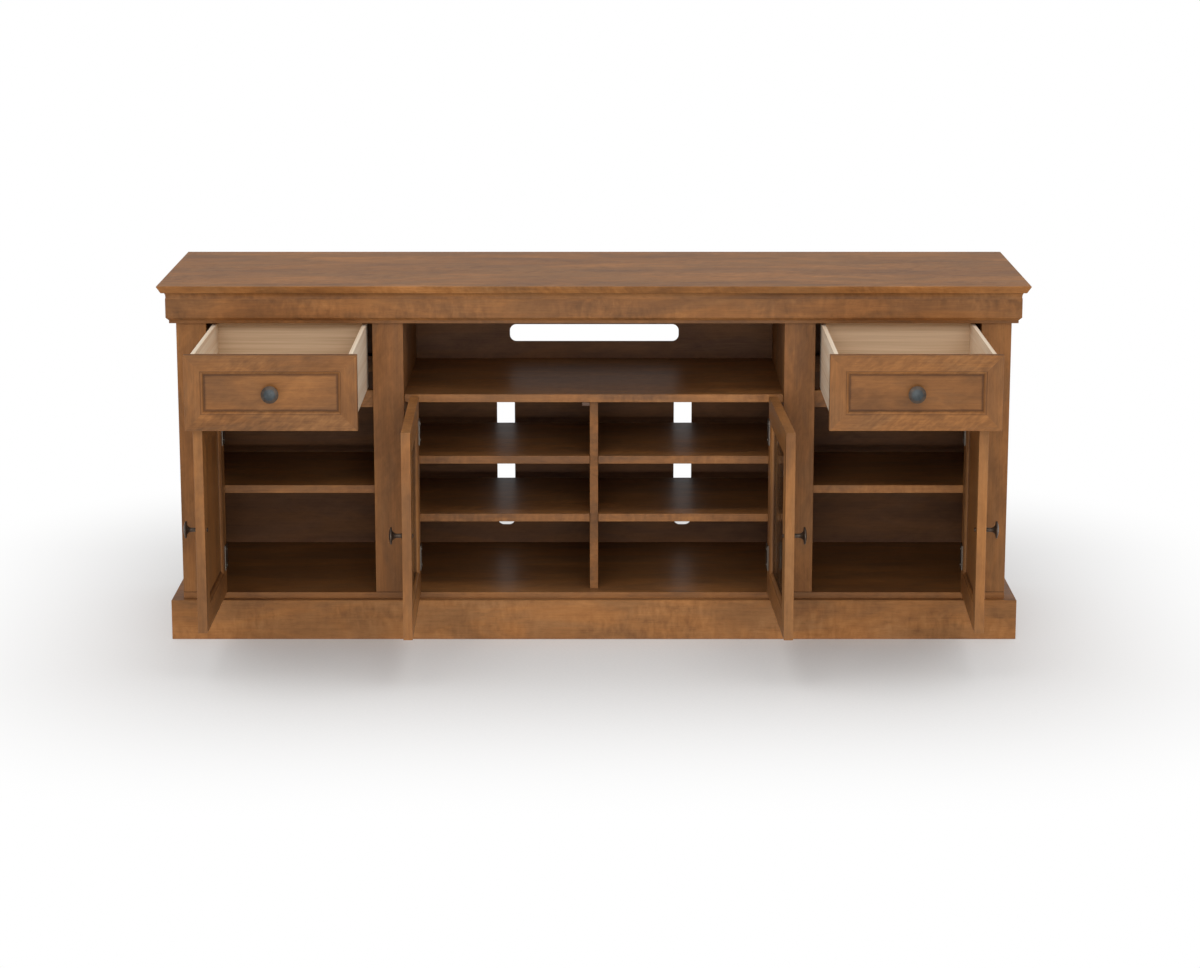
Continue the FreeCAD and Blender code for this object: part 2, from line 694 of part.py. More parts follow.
def make_knob(name, x, y, z, back_y):
    """A flared round knob on a front at y, with its bolt from the back of the front at back_y."""
    rim, stem, base = "knob_diameter / 2", "knob_stem_diameter / 2", "knob_base_diameter / 2"
    shape = turned(name + "_form", [
        ("0", "0"), (base, "0"), (base, "knob_base_height / 2"), (stem, "knob_base_height"),
        (stem, "knob_rim_bottom - knob_flare_length", "knob_flare_radius", -1),
        (rim, "knob_rim_bottom"), (rim, "knob_rim_top", "knob_dome_radius", 1), ("0", "knob_projection")])
    shape.Placement.Rotation = FreeCAD.Rotation(FreeCAD.Vector(1, 0, 0), 90)
    move(shape, x, y, z)
    hole = rod(name + "_bore", "y", x, "%s - bolt_grip - bolt_play" % y, z, "bolt_diameter + 2 * bolt_play",
               "bolt_grip + 2 * bolt_play")
    shank = rod(name + "_shank", "y", x, "%s - bolt_grip" % y, z, "bolt_diameter",
                "%s - (%s) + bolt_grip + bolt_head_height" % (back_y, y))
    head = rod(name + "_head", "y", x, back_y, z, "bolt_head_diameter", "bolt_head_height")
    return [carved(name + "_turned", shape, [hole]), joined(name + "_bolt", [shank, head])]


def bolt_hole(name, x, y, z, depth):
    """A clear hole for a knob's bolt."""
    return rod(name, "y", x, y, z, "bolt_diameter + 2 * bolt_play", depth)


# Drawers

def placed(name, pieces, x=0, y=0, turn=None):
    """The pieces of one moving sub-part, put where the rest position has them."""
    kept = together(name, pieces)
    move(kept, x, y)
    if turn:
        kept.Placement.Rotation = FreeCAD.Rotation(FreeCAD.Vector(0, 0, 1), 1)
        bind(kept, **{"Placement.Rotation.Angle": turn})
    return node(name, kept)


def slide_section(name, side, width, height, bottom, length, front):
    """A steel channel with lips turned in over its open top."""
    half, wall = "(%s) / 2" % width, "slide_wall"
    top = "%s + %s" % (bottom, height)
    right = [(half, bottom), (half, top), ("%s - %s - slide_lip" % (half, wall), top),
             ("%s - %s - slide_lip" % (half, wall), "%s - %s" % (top, wall)),
             ("%s - %s" % (half, wall), "%s - %s" % (top, wall)),
             ("%s - %s" % (half, wall), "%s + %s" % (bottom, wall))]
    left = [("-(%s)" % across_x, up) for across_x, up in reversed(right)]
    body = padded(name, "XZ_Plane", right + left, length)
    centre = "bay_centre" if side > 0 else "-bay_centre"
    return move(body, centre, "%s + %s" % (front, length))


def make_slide_bar(name, side):
    """The upper slide member, a flanged bar under the drawer's floor."""
    flange, stem = "bar_width / 2", "slide_stem_width / 2"
    neck = "bar_bottom + bar_height"
    right = [(flange, "bar_bottom"), (flange, neck), (stem, neck), (stem, "box_floor_bottom")]
    left = [("-(%s)" % across_x, up) for across_x, up in reversed(right)]
    bar = padded(name, "XZ_Plane", right + left, "slide_length")
    return move(bar, "bay_centre" if side > 0 else "-bay_centre", "slide_start_y + slide_length")


def make_drawer(name, side):
    """A framed front on an open box, with the upper member of its slide."""
    centre_x = "bay_centre" if side > 0 else "-bay_centre"
    knob_z = "drawer_front_bottom + drawer_front_height / 2"
    panel_y = "face_y + panel_recess"
    holes = {"near": [], "far": [],
             "panel": [bolt_hole(name + "_panel_hole", centre_x, panel_y, knob_z, "panel_thickness")]}
    stiles, rails, panel = framed_front(
        name + "_front", side, "bay_inner_edge + front_gap", "face_y", "drawer_front_bottom",
        "drawer_front_width", "drawer_front_height", "drawer_member_width", "panel_thickness",
        "panel_recess", holes)
    out = "-drawer_pull"
    placed(name + "_front_frame", stiles + rails, y=out)
    placed(name + "_front_panel", [panel], y=out)

    sides = []
    for label, start, groove_x in (
            ("inner", "box_inner_x", "box_inner_x + box_wall - box_groove"),
            ("outer", "box_inner_x + box_width - box_wall", "box_inner_x + box_width - box_wall")):
        wall = board("%s_%s_wall" % (name, label), mirrored(side, start, "box_wall"), "front_back_y",
                     "box_bottom", "box_wall", "box_length", "box_height")
        groove = board("%s_%s_wall_groove" % (name, label), mirrored(side, groove_x, "box_groove"),
                       "front_back_y", "box_floor_bottom", "box_groove", "box_length", "box_floor_thickness")
        sides.append(carved("%s_%s_side" % (name, label), wall, [groove]))
    placed(name + "_box_sides", sides, y=out)

    inside, clear = "box_inner_x + box_wall", "box_width - 2 * box_wall"
    end_height = "box_bottom + box_height - box_floor_top"
    ends = [board("%s_end_%d" % (name, count), mirrored(side, inside, clear), y, "box_floor_top", clear,
                  "box_wall", end_height)
            for count, y in enumerate(("front_back_y", "box_back_y - box_wall"))]
    front_hole = bolt_hole(name + "_end_hole", centre_x, "front_back_y", knob_z, "box_wall")
    ends[0] = carved(name + "_front_end", ends[0], [front_hole])
    placed(name + "_box_ends", ends, y=out)

    floor_length = "%s + 2 * box_groove" % clear
    floor = board(name + "_floor_sheet", mirrored(side, inside + " - box_groove", floor_length),
                  "front_back_y", "box_floor_bottom", floor_length, "box_length", "box_floor_thickness")
    placed(name + "_box_floor", [floor], y=out)
    knob = make_knob(name + "_knob", centre_x, panel_y, knob_z, "front_back_y + box_wall")
    placed(name + "_knob", knob, y=out)
    placed(name + "_slide_bar", [make_slide_bar(name + "_bar", side)], y=out)


def make_slides():
    """The fixed channels on the rails, and the middle members that run half as far as the drawers."""
    channels = []
    for name, side in DRAWERS.items():
        channels.append(slide_section(name + "_channel", side, "slide_width", "slide_height",
                                      "drawer_rail_top", "(back_y - member_y)", "member_y"))
        middle = slide_section(name + "_middle", side, "middle_width", "middle_height", "middle_bottom",
                               "slide_length", "slide_start_y")
        placed(name.replace("drawer", "slide_middle"), [middle], y="-drawer_pull / 2")
    node("slide_channels", together("slide_channels", channels))


# Doors and hinges

def barrel(name, start, length):
    """A knuckle about the hinge axis, which is the local origin."""
    return rod(name, "z", 0, 0, start, "hinge_barrel_diameter", length)


def pin_bore(name, level):
    """The clear bore that the hinge pin turns in."""
    return rod(name, "z", 0, 0, level, "hinge_pin_diameter + 2 * hinge_pin_play", "hinge_height")


def screw_pair(name, side, axis, x, y, level, sizes):
    """Two screws of a leaf, and the holes that pass them in the leaf. Sizes are the head's diameters
    and length, and the shank's start and length, along the axis."""
    first, second, head, shank_start, shank = sizes
    play = " + 2 * hole_play"
    screws, holes = [], []
    for spot, sign in enumerate(("-", "+")):
        label = "%s_%d" % (name, spot)
        z = "%s + hinge_height / 2 %s screw_spread / 2" % (level, sign)
        if axis == "x":
            head_at = (mirrored(side, x, head), y)
            shank_at = (mirrored(side, shank_start, shank), y)
            low, high = (first, second) if side > 0 else (second, first)
        else:
            head_at = (mirrored(side, x), y)
            shank_at = (mirrored(side, x), shank_start)
            low, high = first, second
        shaft = rod(label + "_shank", axis, *shank_at, z, "screw_diameter", shank)
        if first == second:
            top = rod(label + "_head", axis, *head_at, z, first, head)
            holes.append(rod(label + "_pass", axis, *shank_at, z, "screw_diameter" + play, shank))
        else:
            top = taper(label + "_head", axis, *head_at, z, low, high, head)
            holes.append(taper(label + "_sink", axis, *head_at, z, low + play, high + play, head))
        screws.append(joined(label, [top, shaft]))
    return screws, holes


def make_door_leaf(name, side, level):
    """The moving leaf: a plate on the door's back that wraps round its edge to the middle knuckle."""
    thin = "hinge_leaf_thickness"
    edge = "(door_edge_x - %s)" % thin
    middle = "%s + hinge_end_knuckle + hinge_knuckle_gap" % level
    plate = board(name + "_plate", mirrored(side, edge, "hinge_plate_width"), "door_back_y", level,
                  "hinge_plate_width", "hinge_plate_thickness", "hinge_height")
    wrap = board(name + "_wrap", mirrored(side, edge, thin), "hinge_axis_forward", level, thin,
                 "front_thickness", "hinge_height")
    neck = board(name + "_neck", mirrored(side, edge, thin), 0, middle, thin, "hinge_axis_forward",
                 "middle_knuckle")
    whole = joined(name + "_whole", [plate, wrap, neck, barrel(name + "_knuckle", middle, "middle_knuckle")])
    head_y = "door_back_y + hinge_plate_thickness"
    shank = "(screw_length + screw_head_height)"
    sizes = ("screw_head_diameter", "screw_head_diameter", "screw_head_height",
             "%s + screw_head_height - %s" % (head_y, shank), shank)
    screws, holes = screw_pair(name + "_screw", side, "y", edge + " + hinge_plate_width / 2", head_y, level,
                               sizes)
    return [carved(name + "_leaf", whole, [pin_bore(name + "_bore", level)] + holes)] + screws


def make_frame_leaf(name, side, level):
    """The fixed leaf: a plate on the upright's edge with the two end knuckles."""
    thin, edge = "hinge_leaf_thickness", "-hinge_axis_inset"
    plate = board(name + "_plate", mirrored(side, edge, thin), "hinge_axis_forward", level, thin,
                  "hinge_leaf_depth", "hinge_height")
    pieces = [plate]
    for label, start in (("low", level), ("high", level + " + hinge_height - hinge_end_knuckle")):
        pieces.append(board("%s_%s_neck" % (name, label), mirrored(side, edge, thin), 0, start, thin,
                            "hinge_axis_forward", "hinge_end_knuckle"))
        pieces.append(barrel("%s_%s_knuckle" % (name, label), start, "hinge_end_knuckle"))
    whole = joined(name + "_whole", pieces)
    shank = "(screw_length - %s)" % thin
    sizes = ("screw_diameter", "screw_head_diameter", thin, "%s - %s" % (edge, shank), shank)
    screws, holes = screw_pair(name + "_screw", side, "x", edge, "hinge_axis_forward + hinge_leaf_depth / 2",
                               level, sizes)
    return [carved(name + "_leaf", whole, [pin_bore(name + "_bore", level)] + holes)] + screws


def make_pin(name, level):
    """A hinge pin with a cap above and below its knuckles."""
    gap = "hinge_knuckle_gap"
    shaft = rod(name + "_shaft", "z", 0, 0, "%s - %s" % (level, gap), "hinge_pin_diameter",
                "hinge_height + 2 * %s" % gap)
    low = rod(name + "_low_cap", "z", 0, 0, "%s - %s - hinge_cap_height" % (level, gap),
              "hinge_cap_diameter", "hinge_cap_height")
    high = rod(name + "_high_cap", "z", 0, 0, "%s + hinge_height + %s" % (level, gap),
               "hinge_cap_diameter", "hinge_cap_height")
    return joined(name, [shaft, low, high])


def make_doors():
    """Four doors, each on two hinges, and the fixed halves of the hinges."""
    frame_leaves, pins = [], []
    for name, (side, edge, width, angle) in DOORS.items():
        axis_x = "%s %s hinge_axis_inset" % (edge, "+" if side > 0 else "-")
        axis_y = "face_y - hinge_axis_forward"
        leaves, fixed, own_pins = [], [], []
        for label, level in (("low", "hinge_low_z"), ("high", "hinge_high_z")):
            leaves += make_door_leaf("%s_%s_hinge" % (name, label), side, level)
            fixed += make_frame_leaf("%s_%s_post" % (name, label), side, level)
            own_pins.append(make_pin("%s_%s_pin" % (name, label), level))
        frame_leaves.append(move(together(name + "_fixed_leaves", fixed), axis_x, axis_y))
        pins.append(move(together(name + "_pins", own_pins), axis_x, axis_y))

        infill = "glass" if "centre" in name else "panel"
        knob_x = mirrored(side, "door_edge_x + %s - door_member_width / 2" % width)
        screw_x = mirrored(side, "door_edge_x - hinge_leaf_thickness + hinge_plate_width / 2")
        depth = "(screw_length - hinge_plate_thickness + hole_play)"
        screw_holes = [rod("%s_pilot_%d" % (name, count), "y", screw_x, "door_back_y - " + depth, height,
                           "screw_diameter + 2 * hole_play", depth)
                       for count, height in enumerate(hinge_screw_heights())]
        knob_hole = bolt_hole(name + "_knob_hole", knob_x, "hinge_axis_forward", "door_knob_height",
                              "front_thickness")
        stiles, rails, sheet_piece = framed_front(
            name, side, "door_edge_x", "hinge_axis_forward", "door_bottom", width, "door_height",
            "door_member_width", infill + "_thickness", infill + "_recess",
            {"near": screw_holes, "far": [knob_hole], "panel": []})
        knob = make_knob(name + "_knob", knob_x, "hinge_axis_forward", "door_knob_height", "door_back_y")
        groups = {"stiles": stiles, "rails": rails, infill: [sheet_piece], "knob": knob,
                  "hinge_leaves": leaves}
        turn = "-" + angle if side > 0 else angle
        for label, pieces in groups.items():
            placed("%s_%s" % (name, label), pieces, axis_x, axis_y, turn)
    node("hinge_frame_leaves", together("hinge_frame_leaves", frame_leaves))
    node("hinge_pins", together("hinge_pins", pins))


# The whole unit

def check_and_write():
    """Stop on any failed object, then write each sub-part to its own file."""
    doc.recompute()
    for item in doc.Objects:
        if "Invalid" in item.State or "Error" in item.State:
            raise RuntimeError("failed object: %s %s" % (item.Name, item.State))
    os.makedirs("parts", exist_ok=True)
    for name, thing in nodes.items():
        shape = thing.Shape
        if shape.isNull() or not shape.isValid() or not shape.Solids:
            raise RuntimeError("bad shape: " + name)
        shape.exportStep("parts/%s.step" % name)
        print("%-34s solids %2d  volume %10.1f" % (name, len(shape.Solids), shape.Volume))
    print(len(nodes), "sub-parts")


make_top()
make_mouldings()
make_plinth()
make_face_frame()
make_case()
make_back()
make_shelves()
make_catches()
make_slides()
for drawer_name, drawer_side in DRAWERS.items():
    make_drawer(drawer_name, drawer_side)
make_doors()
check_and_write()
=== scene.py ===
# %% [markdown]
# A low tv unit in brown stained wood stands with both drawers out and all four doors open.
# Its solids come ready made from the CAD model, so this lesson is about the joiner's last work:
# easing the sharp edges, sticking small profiles round the panels, and finishing each board.
# The CAD model is loaded first and never moved, because every new piece has to fit it.

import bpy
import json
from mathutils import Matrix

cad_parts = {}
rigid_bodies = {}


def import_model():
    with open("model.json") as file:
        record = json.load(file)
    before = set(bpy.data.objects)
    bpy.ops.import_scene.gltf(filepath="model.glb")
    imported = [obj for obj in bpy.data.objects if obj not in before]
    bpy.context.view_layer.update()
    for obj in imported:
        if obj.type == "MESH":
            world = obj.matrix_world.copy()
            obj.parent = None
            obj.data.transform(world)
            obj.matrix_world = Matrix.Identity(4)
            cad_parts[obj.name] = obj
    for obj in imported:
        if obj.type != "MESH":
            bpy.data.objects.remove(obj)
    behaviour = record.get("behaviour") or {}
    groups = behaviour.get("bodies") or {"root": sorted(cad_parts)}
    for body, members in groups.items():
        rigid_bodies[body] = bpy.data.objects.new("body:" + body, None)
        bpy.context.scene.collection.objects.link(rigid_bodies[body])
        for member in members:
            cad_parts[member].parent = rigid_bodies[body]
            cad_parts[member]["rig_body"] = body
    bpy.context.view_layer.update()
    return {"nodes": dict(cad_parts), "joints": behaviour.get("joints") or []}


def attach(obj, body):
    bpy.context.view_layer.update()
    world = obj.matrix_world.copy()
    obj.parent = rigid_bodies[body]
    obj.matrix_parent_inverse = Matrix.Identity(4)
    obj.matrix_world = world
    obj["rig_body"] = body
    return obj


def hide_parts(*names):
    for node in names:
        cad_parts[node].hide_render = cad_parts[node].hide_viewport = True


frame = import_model()

# %% [markdown]
# The other tools are Python's own maths and seeded chance, Blender's mesh editor for the shapes, and
# Blender's data for materials, lamps and the camera. No other file is read, so a rerun gives the same.

# %% Other tools
import json
import math
import random

import bmesh
import bpy
from mathutils import Matrix, Vector

scene = bpy.context.scene
print("Blender", bpy.app.version_string)

# %% [markdown]
# The photograph was taken from straight in front with a long lens, a little above the top board.
# The camera could be placed by eye, but its place was worked out from the unit's own straight edges,
# so these numbers put each edge of the solids where the photograph has it.

# %% Camera
# The sensor and lens are in millimetres, the place in metres and the dip in degrees below level.
SENSOR_WIDTH = 36.0
LENS = 93.49
CAMERA_PLACE = (0.0122, -6.340, 1.641)
CAMERA_DIP = 12.194

camera_data = bpy.data.cameras.new("photo_camera")
camera_data.sensor_width = SENSOR_WIDTH
camera_data.lens = LENS
camera = bpy.data.objects.new("photo_camera", camera_data)
camera.location = CAMERA_PLACE
camera.rotation_euler = (math.radians(90.0 - CAMERA_DIP), 0.0, 0.0)
scene.collection.objects.link(camera)
scene.camera = camera
scene.view_settings.view_transform = "Standard"
print("camera", LENS, "mm lens", CAMERA_DIP, "degrees below level")

# %% [markdown]
# A finish is a small network of shader nodes. Written out one link at a time it is hard to read,
# so a wire here is one output that sums can be done on: each sum adds its own Math node.


# %% Wires
class Wire:
    """One output of a node, which can be added to, taken from and multiplied."""

    def __init__(self, finish, socket):
        self.finish = finish
        self.socket = socket

    def sum(self, operation, first, second):
        return self.finish.add("ShaderNodeMath", {"operation": operation}, {0: first, 1: second})

    def __add__(self, other):
        return self.sum("ADD", self, other)

    def __radd__(self, other):
        return self.sum("ADD", other, self)

    def __sub__(self, other):
        return self.sum("SUBTRACT", self, other)

    def __rsub__(self, other):
        return self.sum("SUBTRACT", other, self)

    def __mul__(self, other):
        return self.sum("MULTIPLY", self, other)

    def __rmul__(self, other):
        return self.sum("MULTIPLY", other, self)

    def least(self, other):
        return self.sum("MINIMUM", self, other)

    def most(self, other):
        return self.sum("MAXIMUM", self, other)


print("wires ready")

# %% [markdown]
# Every other node comes from one method, which makes a node's own settings before its sockets, because
# some settings change which sockets a node has. The short methods under it are the few nodes that wood,
# metal and glass share. A node group could hold them too, but then its inside would be one more thing
# to read, and plain methods leave a plain network.


# %% Finishes
class Finish:
    """A material, or the world when its tree is given, and the ways to add nodes to it."""

    def __init__(self, name, tree=None):
        if tree is None:
            self.material = bpy.data.materials.new(name)
            self.material.use_nodes = True
            tree = self.material.node_tree
        self.tree = tree
        tree.nodes.clear()

    def add(self, kind, settings=None, sockets=None, output=0):
        """A node from its type, its settings and the values or wires of its sockets, as one output."""
        node = self.tree.nodes.new(kind)
        for key, value in (settings or {}).items():
            if key == "stops":
                self.set_stops(node.color_ramp, value)
            else:
                setattr(node, key, value)
        for key, value in (sockets or {}).items():
            if isinstance(value, Wire):
                self.tree.links.new(value.socket, node.inputs[key])
            else:
                node.inputs[key].default_value = value
        return Wire(self, node.outputs[output])

    def set_stops(self, color_ramp, stops):
        while len(color_ramp.elements) < len(stops):
            color_ramp.elements.new(0.5)
        for element, (place, colour) in zip(color_ramp.elements, stops):
            element.position = place
            element.color = (*colour, 1.0)

    def finish_with(self, shader, kind="ShaderNodeOutputMaterial"):
        node = self.tree.nodes.new(kind)
        self.tree.links.new(shader.socket, node.inputs["Surface"])

    def attribute(self, name, output="Vector"):
        return self.add("ShaderNodeAttribute", {"attribute_name": name}, {}, output)

    def vector(self, operation, first, second=None, output="Vector"):
        sockets = {0: first} if second is None else {0: first, 1: second}
        return self.add("ShaderNodeVectorMath", {"operation": operation}, sockets, output)

    def axis(self, vector, name):
        return self.add("ShaderNodeSeparateXYZ", {}, {0: vector}, name)

    def noise(self, vector, times=None, scale=1.0, detail=2.0, roughness=0.5, distortion=0.0):
        """Noise that repeats so many times in a metre, along, across and through a board."""
        if times:
            vector = self.vector("MULTIPLY", vector, times)
        sockets = {"Vector": vector, "Scale": scale, "Detail": detail, "Roughness": roughness}
        sockets["Distortion"] = distortion
        return self.add("ShaderNodeTexNoise", {}, sockets, "Fac")

    def ramp(self, value, stops):
        return self.add("ShaderNodeValToRGB", {"stops": stops}, {"Fac": value}, "Color")

    def span(self, value, low, high, start=0.0, end=1.0):
        """A value that goes softly from start to end while another goes from low to high."""
        sockets = {"Value": value, "From Min": low, "From Max": high, "To Min": start, "To Max": end}
        return self.add("ShaderNodeMapRange", {"interpolation_type": "SMOOTHSTEP"}, sockets)

    def blend(self, amount, first, second):
        settings = {"data_type": "RGBA", "blend_type": "MIX"}
        return self.add("ShaderNodeMix", settings, {0: amount, 6: first, 7: second}, 2)

    def bump(self, height, strength, distance):
        return self.add("ShaderNodeBump", {}, {"Height": height, "Strength": strength, "Distance": distance})

    def principled(self, sockets):
        return self.add("ShaderNodeBsdfPrincipled", {}, sockets)


def light_paths(finish):
    """Three masks, for what the camera sees, what glossy surfaces mirror and what is seen through glass."""
    names = ("Is Camera Ray", "Is Glossy Ray", "Is Transmission Ray")
    return [finish.add("ShaderNodeLightPath", {}, {}, name) for name in names]


print("finishes ready")

# %% [markdown]
# A paint chart gives a colour as three numbers from 0 to 255, spaced as the eye sees them. Blender mixes
# light, which isn't spaced that way, so each colour is turned into amounts of light once, as it is read.


# %% Paint
def paint(red, green, blue):
    """A colour as a paint chart gives it, turned into the light that Blender mixes."""
    values = [value / 255.0 for value in (red, green, blue)]
    return tuple(value / 12.92 if value <= 0.04045 else ((value + 0.055) / 1.055) ** 2.4 for value in values)


WHITE = (1.0, 1.0, 1.0, 1.0)
print("a middling brown as light", [round(value, 3) for value in paint(140, 95, 60)])

# %% [markdown]
# The unit was photographed on a pale studio floor that fades to white all round it.
# Brighter lamps would also give a white background, but they would bleach the wood.
# Instead the floor is a plain pale surface that keeps the soft shadow near the unit, and away from
# the unit it turns into pure white for the camera and for what glossy surfaces mirror.

# %% Floor
# In metres: half the floor, how far it lies under the unit, half the patch that stays plain, and where
# the fade starts and ends, counted from that patch. The least white is what the patch itself has.
FLOOR_HALF = 20.0
FLOOR_DROP = 0.0005
KEPT_SIZE = (0.55, 0.45, 0.0)
FADE_START = 0.0
FADE_END = 0.95
LEAST_WHITE = 0.08
FLOOR_STOPS = [(0.3, paint(242, 241, 240)), (0.7, paint(246, 245, 244))]
GRIT = {"scale": 180.0, "detail": 3.0}


def studio_floor():
    """A matt pale surface inside the kept size, which turns white towards the end of the fade."""
    finish = Finish("studio_floor")
    place = finish.add("ShaderNodeTexCoord", {}, {}, "Object")
    beyond = finish.vector("SUBTRACT", finish.vector("ABSOLUTE", place), KEPT_SIZE)
    outside = finish.vector("MAXIMUM", beyond, (0.0, 0.0, 0.0))
    away = finish.vector("LENGTH", outside, output="Value")
    far = finish.span(away, FADE_START, FADE_END, LEAST_WHITE, 1.0)
    grit = finish.noise(place, **GRIT)
    matt = finish.add("ShaderNodeBsdfDiffuse", {}, {"Color": finish.ramp(grit, FLOOR_STOPS)})
    white = finish.add("ShaderNodeEmission", {}, {"Color": WHITE, "Strength": 1.0})
    seen, glossy, through = light_paths(finish)
    share = seen.most(glossy).most(through) * far
    finish.finish_with(finish.add("ShaderNodeMixShader", {}, {0: share, 1: matt, 2: white}))
    return finish.material


floor_mesh = bpy.data.meshes.new("studio_floor")
floor_corners = [(-FLOOR_HALF, -FLOOR_HALF, 0), (FLOOR_HALF, -FLOOR_HALF, 0),
                 (FLOOR_HALF, FLOOR_HALF, 0), (-FLOOR_HALF, FLOOR_HALF, 0)]
floor_mesh.from_pydata(floor_corners, [], [(0, 1, 2, 3)])
floor_mesh.materials.append(studio_floor())
floor = bpy.data.objects.new("studio_floor", floor_mesh)
floor.location.z = -FLOOR_DROP
scene.collection.objects.link(floor)
print("floor", 2 * FLOOR_HALF, "m square")

# %% [markdown]
# The light in the photograph has hardly any direction: a white room with broad lamps in front.
# The room is the world's colour. The camera sees it as white, and it lights the wood at a plain level.
# A lacquered board would look chalky if it mirrored that white at every angle, so what glossy surfaces
# mirror is white only near the horizon and dims higher up.

# %% Room
# Two strengths of the room, where 1 is white, and how high a direction points where it starts and
# stops growing dimmer, as the height of an arrow one metre long.
ROOM_LEVEL = 0.56
MIRRORED_LEVEL = 0.28
DIM_FROM = 0.03
DIM_TO = 0.36

world = bpy.data.worlds.new("white_room")
world.use_nodes = True
scene.world = world
room = Finish("white_room", world.node_tree)
seen_ray, glossy_ray, through_ray = light_paths(room)
direction = room.add("ShaderNodeTexCoord", {}, {}, "Generated")
mirrored = room.span(room.axis(direction, "Z"), DIM_FROM, DIM_TO, 1.0, MIRRORED_LEVEL)
seen_white = seen_ray.most(through_ray)
seen_mirrored = glossy_ray * (1.0 - seen_white)
plain = 1.0 - seen_white.most(seen_mirrored)
strength = seen_white + seen_mirrored * mirrored + plain * ROOM_LEVEL
room.finish_with(room.add("ShaderNodeBackground", {}, {"Color": WHITE, "Strength": strength}),
                 "ShaderNodeOutputWorld")
print("room level", ROOM_LEVEL, "mirrored", MIRRORED_LEVEL)

# %% [markdown]
# Two broad lamps stand far off to the left and right and light the faces. A long low one reaches the
# backs of the bays and the plinth, as light thrown up by a white floor does, and one overhead lights
# the top. One strong lamp would be simpler, but it would cast hard shadows that the photograph lacks.

# %% Lamps
# Each row is a name, a place, what the lamp faces, its width and height in metres, and its watts.
FRONT_AIM = (0.0, -0.3, 0.35)
TOP_AIM = (0.0, -0.8, 0.3)
LAMPS = [("left_lamp", (-2.2, -8.3, 3.7), FRONT_AIM, (3.0, 2.2), 104.0),
         ("right_lamp", (2.2, -8.3, 3.7), FRONT_AIM, (3.0, 2.2), 104.0),
         ("low_lamp", (0.0, -7.2, 0.40), FRONT_AIM, (2.4, 0.6), 95.0),
         ("overhead_lamp", (0.0, -1.2, 3.6), TOP_AIM, (3.5, 2.5), 32.0)]


def lamp(name, place, aim, size, watts):
    """A flat lamp of a given width and height that faces its aim."""
    data = bpy.data.lights.new(name, "AREA")
    data.shape = "RECTANGLE"
    data.size = size[0]
    data.size_y = size[1]
    data.energy = watts
    thing = bpy.data.objects.new(name, data)
    thing.location = place
    thing.rotation_euler = (Vector(aim) - Vector(place)).to_track_quat("-Z", "Y").to_euler()
    scene.collection.objects.link(thing)


for row in LAMPS:
    lamp(*row)
print("lamps", [row[0] for row in LAMPS])

# %% [markdown]
# Wood grain follows each board, so a finish has to know where the board runs. A door in the photograph
# stands open at its own angle, and a board measured there would have a box that is skew to it.
# Turning the mesh itself would break the frame, so only the measuring is done with the door turned back.

# %% Doors turned back to shut
shut = {}
for joint in frame["joints"]:
    if joint["type"] == "hinge":
        pivot = Matrix.Translation(Vector(joint["pos_m"]))
        turn = Matrix.Rotation(math.radians(joint["range_deg"][0]), 4, Vector(joint["axis"]))
        shut[joint["child"]] = pivot @ turn @ pivot.inverted()
print("hinged", sorted(shut))

# %% [markdown]
# One node can hold several boards, such as the two stiles of a door. They were sawn from different
# planks, so they have to be told apart before each can get its own grain. The order in which they are
# found changes from run to run, so they are sorted by their lowest corner. A stile and a rail share
# that corner in a mitre, and then the one with the higher far corner comes first.


# %% Separate boards
def board_order(found):
    """What the boards of a node are sorted by: the lowest corner, then the far one, highest first."""
    corners = sorted(tuple(vertex.co) for vertex in found)
    return [round(value, 4) for value in corners[0]] + [-round(value, 4) for value in corners[-1]]


def separate_boards(work):
    """The vertices of each board that a mesh holds."""
    left = set(work.verts)
    boards = []
    while left:
        seed = left.pop()
        found = [seed]
        stack = [seed]
        while stack:
            for edge in stack.pop().link_edges:
                for vertex in edge.verts:
                    if vertex in left:
                        left.remove(vertex)
                        found.append(vertex)
                        stack.append(vertex)
        boards.append(found)
    return sorted(boards, key=board_order)


print("separate boards ready")

# %% [markdown]
# Generated or object coordinates would run one grain through the whole unit, across the joints too.
# Here each board gets coordinates along, across and through it, with its own starting point in the timber.
# It also gets a tone, because no two planks take stain alike. The tones of the boards that the photograph
# shows plainly are set here, and chance adds a little. These set tones are partly the boards' stain and
# partly painted light and shade, so the inner stiles, for one, are darker where the drawers shade them.
# Upright boards and panels are calmer.

# %% Board coordinates
# A tone of -1 is a dark board and 1 a light one. A board starts anywhere in that length of timber.
CALM_FIGURE = 0.3
TONE_SPREAD = 0.12
TIMBER_LENGTH = 40.0
# Some tones below are painted light and shade: darker where a board stands in shade, lighter where it is
# well lit.
BOARD_TONE_AND_SHADE = {
    "top_slab": 0.9,
    "cove_moulding": -0.3,
    "frieze_boards": -0.8,
    "frieze_foot_moulding": -1.0,
    "inner_stiles": -0.5,
    "outer_stiles": 0.2,
    "media_shelves": -1.0,
    "centre_divider": -1.4,
    "plinth_boards": 1.0,
    "drawer_left_front_frame": -1.1,
    "drawer_right_front_frame": -1.1,
    "drawer_left_front_panel": -0.5,
    "drawer_right_front_panel": -1.6,
}


